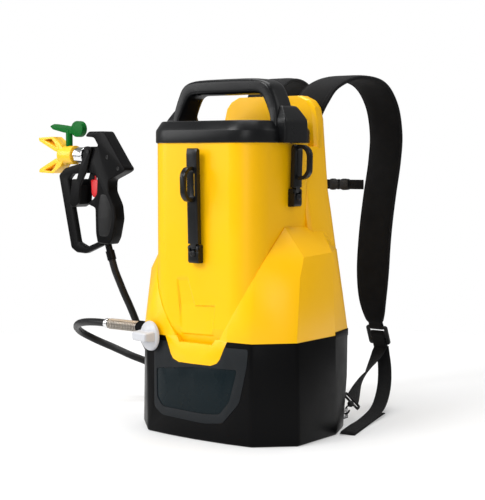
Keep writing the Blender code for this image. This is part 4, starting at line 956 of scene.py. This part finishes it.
def strap_frames(path: Array, across: Array) -> tuple[Array, Array]:
    """Works out a strap's own directions: its width squared up to its path, and its face's normal.

    Args:
        path: its middle line.
        across: rough directions of its width.

    Returns:
        Unit vectors across it and out of its face.
    """
    along = unit(np.gradient(path, axis=0))
    side = unit(across - along * np.sum(across * along, axis=1, keepdims=True))
    return side, np.cross(side, along)


def strap_mesh(
    name: str, path: Array, across: Array, half: Array | float, thick: Array | float, power: float,
    around: int,
) -> Piece:
    """Carries a flat rounded section along a path; its faces sink a little towards the edges.

    Args:
        name: the object's name.
        path: the middle line.
        across: the direction of the width at each point.
        half: half the width, one for all points or one for each.
        thick: half the thickness, likewise.
        power: how square the section is, 1 for an oval.
        around: points round the section.

    Returns:
        The object, with U and V in metres.
    """
    side, face = strap_frames(path, across)
    a, b = ring(around, power)
    wide, high = (np.broadcast_to(size, len(path))[:, None] * row for size, row in ((half, a), (thick, b)))
    points = swept(path, side, face, wide, high * (1 - CROWN * np.abs(a) ** 6))
    uvs = np.stack(np.broadcast_arrays(wide, walked(path)[:, None]), axis=-1)
    return grid_object(name, points, uvs)


@dataclass
class Stitches:
    """A row of stitches along a line: each is a short thread that dips into the cloth at both ends."""

    name: str
    path: Array
    face: Array
    pitch: float = 4 * MM
    share: float = 0.72
    radius: float = 0.42 * MM
    swell: tuple = (0.35, 0.9, 1.0, 0.9, 0.35)
    rise: float = 0.45 * MM
    lift: tuple = (-0.8, 0.3, 0.6, 0.3, -0.8)

    def build(self) -> None:
        """Lofts every stitch of the row at once, ring by ring along its thread."""
        steps = walked(self.path)
        starts = np.arange(self.pitch, steps[-1] - self.pitch, self.pitch)
        stops = starts[:, None] + self.share * self.pitch * np.linspace(0, 1, len(self.swell))
        centre, up = read_along(self.path, steps, stops), unit(read_along(self.face, steps, stops))
        side = np.cross(up, unit(np.gradient(centre, axis=1)))
        radius = self.radius * np.array(self.swell)
        c, s = (row[:, None] for row in ring(6))
        spokes = c * side[:, :, None] + s * up[:, :, None]
        middle = centre + up * (self.rise * np.array(self.lift))[:, None]
        points = middle[:, :, None] + spokes * radius[None, :, None, None]
        finish(grid_object(self.name, points), Look.THREAD)


@dataclass
class Pad:
    """A shoulder strap's padded part: foam between two cloth faces, its edge bound with tape and stitched."""

    name: str
    width: float = 65.0 * MM
    thick: float = 9.0 * MM
    cloth_in: float = 1.6 * MM
    binding_in: float = 1.8 * MM
    binding_wide: float = 2.0 * MM
    binding_high: float = 3.1 * MM
    binding_wrap: float = 5 * np.pi * MM
    stitch_in: float = 6.5 * MM
    slack: float = 0.98
    count: int = 260
    route: tuple = (
        (50, 128.5, 500), (52, 138, 530), (58, 163, 556), (68, 212, 571.5), (78, 270, 564), (82, 306, 530),
        (83, 321, 480), (81.5, 319, 430), (80.5, 305, 370), (80, 293, 310), (80, 286, 250), (80, 285, 195),
        (80, 291, 162), (80, 296.5, 145.5),
    )

    def half_width(self, share: Array) -> Array:
        """Works out half the width: full along the middle, and curving in to both ends.

        Args:
            share: the place along the pad, 0 at the top.

        Returns:
            Half the width there.
        """
        top = np.clip(share / 0.07, 0, 1)
        foot = np.clip((1 - share) / 0.19, 0, 1)
        grown = (0.68 + 0.32 * np.sin(top * np.pi / 2)) * (0.33 + 0.67 * (1 - (1 - foot) ** 2) ** 0.62)
        return self.width / 2 * grown

    def surface(self, half: Array) -> Array:
        """Gives the pad's height where the stitches run, from its section's own curve."""
        place = np.clip((half - self.stitch_in) / (half - self.cloth_in), 0, 0.999)
        return self.thick / 2 * self.slack * (1 - place**4) ** 0.25 * (1 - CROWN * place**6)

    def binding(self, line: Array, out: Array, face: Array, label: str) -> None:
        """Folds a binding tape over one edge: a flattened round section along it.

        Args:
            line: the edge's line.
            out: directions out of the edge.
            face: the pad's normals.
            label: the edge's name.
        """
        c, s = ring(14)
        share = np.linspace(0, 1, len(line))
        ends = np.clip(np.minimum(share, share[::-1]) / 0.01, 0.1, 1)[:, None]
        points = swept(line, out, face, self.binding_wide * ends * c, self.binding_high * ends * s)
        turned = np.linspace(0, self.binding_wrap, 14, endpoint=False)
        uvs = np.stack(np.broadcast_arrays(turned, walked(line)[:, None]), axis=-1)
        finish(grid_object(f"pad_{self.name}_edge_{label}", points, uvs), Look.TAPE)

    def build(self) -> None:
        """Makes the crowned pad, its bound edge and two rows of stitches."""
        share = np.linspace(0, 1, self.count)
        path = smooth_path(np.array(self.route) * MM, self.count)
        path[:, 0] *= SIDES[self.name]
        across = np.tile([SIDES[self.name], 0.0, 0.0], (self.count, 1))
        half = self.half_width(share)
        closing = np.sqrt(np.clip(np.minimum(share, 1 - share) / 0.012, 0.02, 1))
        waves = 1 + 0.035 * np.sin(share * 47) + 0.02 * np.sin(share * 83 + 1.0)
        thick = self.thick / 2 * closing * waves * self.slack
        body = strap_mesh(f"pad_{self.name}", path, across, half - self.cloth_in, thick, 0.5, 64)
        finish(body, Look.PAD, nodes=(f"shoulder_strap_{self.name}",))
        side, face = strap_frames(path, across)
        edges = (("in", -1.0), ("out", 1.0))
        for label, edge in edges:
            self.binding(path + side * (edge * (half - self.binding_in))[:, None], side * edge, face, label)
        lift = face * (self.surface(half) * closing)[:, None]
        for label, edge in edges:
            row = path + side * (edge * (half - self.stitch_in))[:, None] + lift
            Stitches(f"pad_{self.name}_stitch_{label}", row[6:-8], face[6:-8]).build()


@dataclass
class Tape:
    """A piece of flat webbing: a thin band along a line, its width turning from first to last."""

    name: str
    route: tuple
    nodes: tuple
    across: tuple = ((1, 0, 0), (1, 0, 0))
    width: float = 25 * MM
    thick: float = 1.8 * MM
    squareness: float = 0.28

    def build(self, side: float = 1.0) -> None:
        """Makes the band, nowhere lower than the floor.

        Args:
            side: 1 for the right, -1 for the left, which mirrors its line.
        """
        mirror = np.array([side, 1, 1])
        path = smooth_path(np.array(self.route) * MM, 150) * mirror
        path[:, 2] = np.maximum(path[:, 2], self.thick / 2 + 0.1 * MM)
        share = np.linspace(0, 1, len(path))[:, None]
        first, last = (unit(np.array(a, float)) for a in self.across)
        across = unit(first * (1 - share) + last * share) * mirror
        made = strap_mesh(self.name, path, across, self.width / 2, self.thick / 2, self.squareness, 40)
        finish(made, Look.TAPE, nodes=self.nodes)


@dataclass
class Harness:
    """The shoulder straps: pads, ladder locks, webbing down to the hooks, free tails and the chest strap."""

    frame: dict
    twist: float = 125.0
    swivel: Triple = (128, 141, 33.5)
    hook: float = 18.5
    pull: Triple = (103, 208, 52.5)
    hang: tuple = ((80, 311.5, 102), (83, 291, 86), (90, 256, 69), (98, 222, 57))
    lock: tuple = ((80, 305.5, 126), (0, 0.391, -0.9204), (0, 0.9204, 0.391))
    loop: tuple = ((-2.2, -34), (-3.5, -20), (-3.6, -16), (0, -11.7), (3.6, -16), (3.5, -20), (2.2, -34))
    web: tuple = (
        (-3.9, 26), (-3.5, 12), (-3.4, 2), (-3.1, -4), (0, -8.1), (3.1, -4), (3.4, 2), (3.5, 12), (1.9, 28),
    )
    chest: tuple = ((20.8, 302, 390), (34, 303, 390), (47, 306, 390))
    tails: tuple = (
        (
            (81, 318, 101), (95, 303, 68), (112, 272, 38), (131, 222, 15), (143, 166, 5), (155, 118, 4.3),
            (166, 81, 4.2), (169.5, 70, 4.1), (171, 66.5, 2.7), (169.5, 70, 1.3), (149, 139, 1.2),
            (128, 210, 1.2), (119, 243, 1.2),
        ),
        ((-80, 318, 101), (-72, 303, 66), (-52, 276, 34), (-30, 240, 12), (-16, 196, 2.6), (-10, 140, 1.4)),
    )
    tail_ends: tuple = ((0.85, 0.6, 0), (1, 0, 0))
    fittings: tuple = (
        ("ladder_lock", Look.GRIP, 1.1), ("strap_hook", Look.GRIP, 0.4, "sprayer", 2),
        ("strap_ring", Look.STEEL, 0.5),
    )
    middle: tuple = (
        ("strap_bar", Look.GRIP, 0.8), ("buckle_socket", Look.GRIP, 0.8), ("buckle_plug", Look.GRIP, 0.8),
    )

    def hanging(self, name: str) -> None:
        """Makes the twisted webbing from a ladder lock down to its hook.

        Args:
            name: right or left.
        """
        swivel = np.array(self.swivel)
        end = swivel - unit(swivel - np.array(self.pull)) * self.hook
        path = smooth_path(np.array([*self.hang, end]) * MM, 120)
        angle = np.radians(self.twist * np.clip(np.linspace(-0.05, 1, len(path)), 0, 1))
        across = np.stack([np.cos(angle), -0.42 * np.sin(angle), 0.9 * np.sin(angle)], axis=1)
        mirror = np.array([SIDES[name], 1, 1])
        sizes = (Tape.width / 2, Tape.thick / 2, Tape.squareness)
        made = strap_mesh(f"webbing_{name}", path * mirror, across * mirror, *sizes, 40)
        finish(made, Look.TAPE, nodes=(f"strap_webbing_{name}",))

    def threading(self, name: str) -> None:
        """Threads a ladder lock: the pad's loop round its top bar, the webbing round its middle bar.

        Args:
            name: right or left.
        """
        middle, down, out = np.array(self.lock)
        for label, line in (("loop", self.loop), ("web", self.web)):
            route = tuple(tuple(middle + down * d + out * o) for o, d in line)
            Tape(f"lock_{label}_{name}", route, (), thick=1.5 * MM).build(SIDES[name])

    def build(self) -> None:
        """Makes every strap and softens the buckles, locks, hooks and rings."""
        upright = ((0, 0, 1), (0, 0, 1))
        for (name, side), tail, end in zip(SIDES.items(), self.tails, self.tail_ends):
            Pad(name).build()
            self.hanging(name)
            self.threading(name)
            Tape(f"tail_{name}", tail, (f"strap_tail_{name}",), ((1, 0, 0), end)).build()
            Tape(f"chest_{name}", self.chest, (f"sternum_webbing_{name}",), upright, 17 * MM).build(side)
            Shells(self.frame, tuple((f"{node}_{name}", *rest) for node, *rest in self.fittings)).build()
        Shells(self.frame, self.middle).build()


# ---- stage


@dataclass
class Studio:
    """The pale floor, the soft lamps round it and the camera at the photo's own place."""

    eye: Triple = (1.26033387, -1.63584891, 0.44120931)
    yaw: float = 37.3541947
    pitch: float = 4.1909390
    lens: float = 92.877
    aim: Triple = (0, 0, 0.25)
    air: float = 0.3
    reach: float = 1.25
    lamps: tuple = (
        ("key", (-0.8, -2.7, 2.6), 1.3, 70.0), ("panel", (-2.3, -1.9, 1.2), 1.7, 34.0),
        ("top", (-0.2, 0.3, 3.2), 2.6, 92.0), ("rim", (2.4, 1.9, 2.0), 1.2, 7.0),
        ("fill", (1.9, -2.3, 1.0), 1.2, 14.0),
    )

    def floor(self) -> None:
        """Lays the floor: one round sheet, plain and matt."""
        c, s = ring(96)
        mesh = bpy.data.meshes.new("floor_plane")
        mesh.from_pydata(np.stack([c, s, 0 * c], axis=1) * self.reach, [], [tuple(range(len(c)))])
        mesh.materials.append(Graph("floor_paper").dressed({
            "Base Color": (0.58, 0.58, 0.58, 1.0), "Roughness": 0.9, "Specular IOR Level": 0.1,
            "Emission Color": WHITE, "Emission Strength": 0.3,
        }))
        placed("floor_plane", mesh)

    def light(self) -> None:
        """Hangs the area lamps, aimed at the object's middle, and sets the world's even light."""
        for name, place, size, power in self.lamps:
            lamp = bpy.data.lights.new(f"lamp_{name}", "AREA")
            lamp.size = size
            lamp.energy = power
            made = placed(lamp.name, lamp)
            turn = (Vector(self.aim) - Vector(place)).to_track_quat("-Z", "Y").to_matrix().to_4x4()
            made.matrix_world = Matrix.Translation(place) @ turn
        world = bpy.data.worlds.new("studio_air")
        bpy.context.scene.world = world
        world.use_nodes = True
        tree = world.node_tree
        plain, seen = tree.nodes["Background"], tree.nodes.new("ShaderNodeBackground")
        for shade, strength in ((plain, self.air), (seen, 1.0)):
            shade.inputs["Color"].default_value = WHITE
            shade.inputs["Strength"].default_value = strength
        camera_ray = tree.nodes.new("ShaderNodeLightPath").outputs["Is Camera Ray"]
        mix = tree.nodes.new("ShaderNodeMixShader")
        for socket, value in zip(mix.inputs, (camera_ray, plain.outputs[0], seen.outputs[0])):
            tree.links.new(value, socket)
        tree.links.new(mix.outputs[0], tree.nodes["World Output"].inputs["Surface"])

    def camera(self) -> None:
        """Sets the camera up from its fitted place, heading and lens."""
        yaw, pitch = math.radians(self.yaw), math.radians(self.pitch)
        ahead = Vector((-math.sin(yaw) * math.cos(pitch), math.cos(yaw) * math.cos(pitch), -math.sin(pitch)))
        right = Vector((math.cos(yaw), math.sin(yaw), 0))
        axes = Matrix((right, right.cross(ahead), -ahead)).transposed().to_4x4()
        data = bpy.data.cameras.new("photo_camera")
        data.lens = self.lens
        data.sensor_width = 36.0
        data.clip_start = 0.01
        made = placed("photo_camera", data)
        made.matrix_world = Matrix.Translation(self.eye) @ axes
        bpy.context.scene.camera = made

    def build(self) -> None:
        """Sets the stage and the plain view transform."""
        self.floor()
        self.light()
        self.camera()
        bpy.context.scene.view_settings.view_transform = "Standard"


def main() -> None:
    """Builds and dresses the whole object."""
    logging.basicConfig(level=logging.INFO)
    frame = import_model()
    parts = (
        Workings(frame), Housing(frame), Tank(), Handle(), Knob(), Screws(), GripPads(), Gun(frame),
        Hose(frame), Harness(frame), Studio(),
    )
    for part in parts:
        part.build()
        LOG.info("%s done", type(part).__name__)


if __name__ == "__main__":
    main()
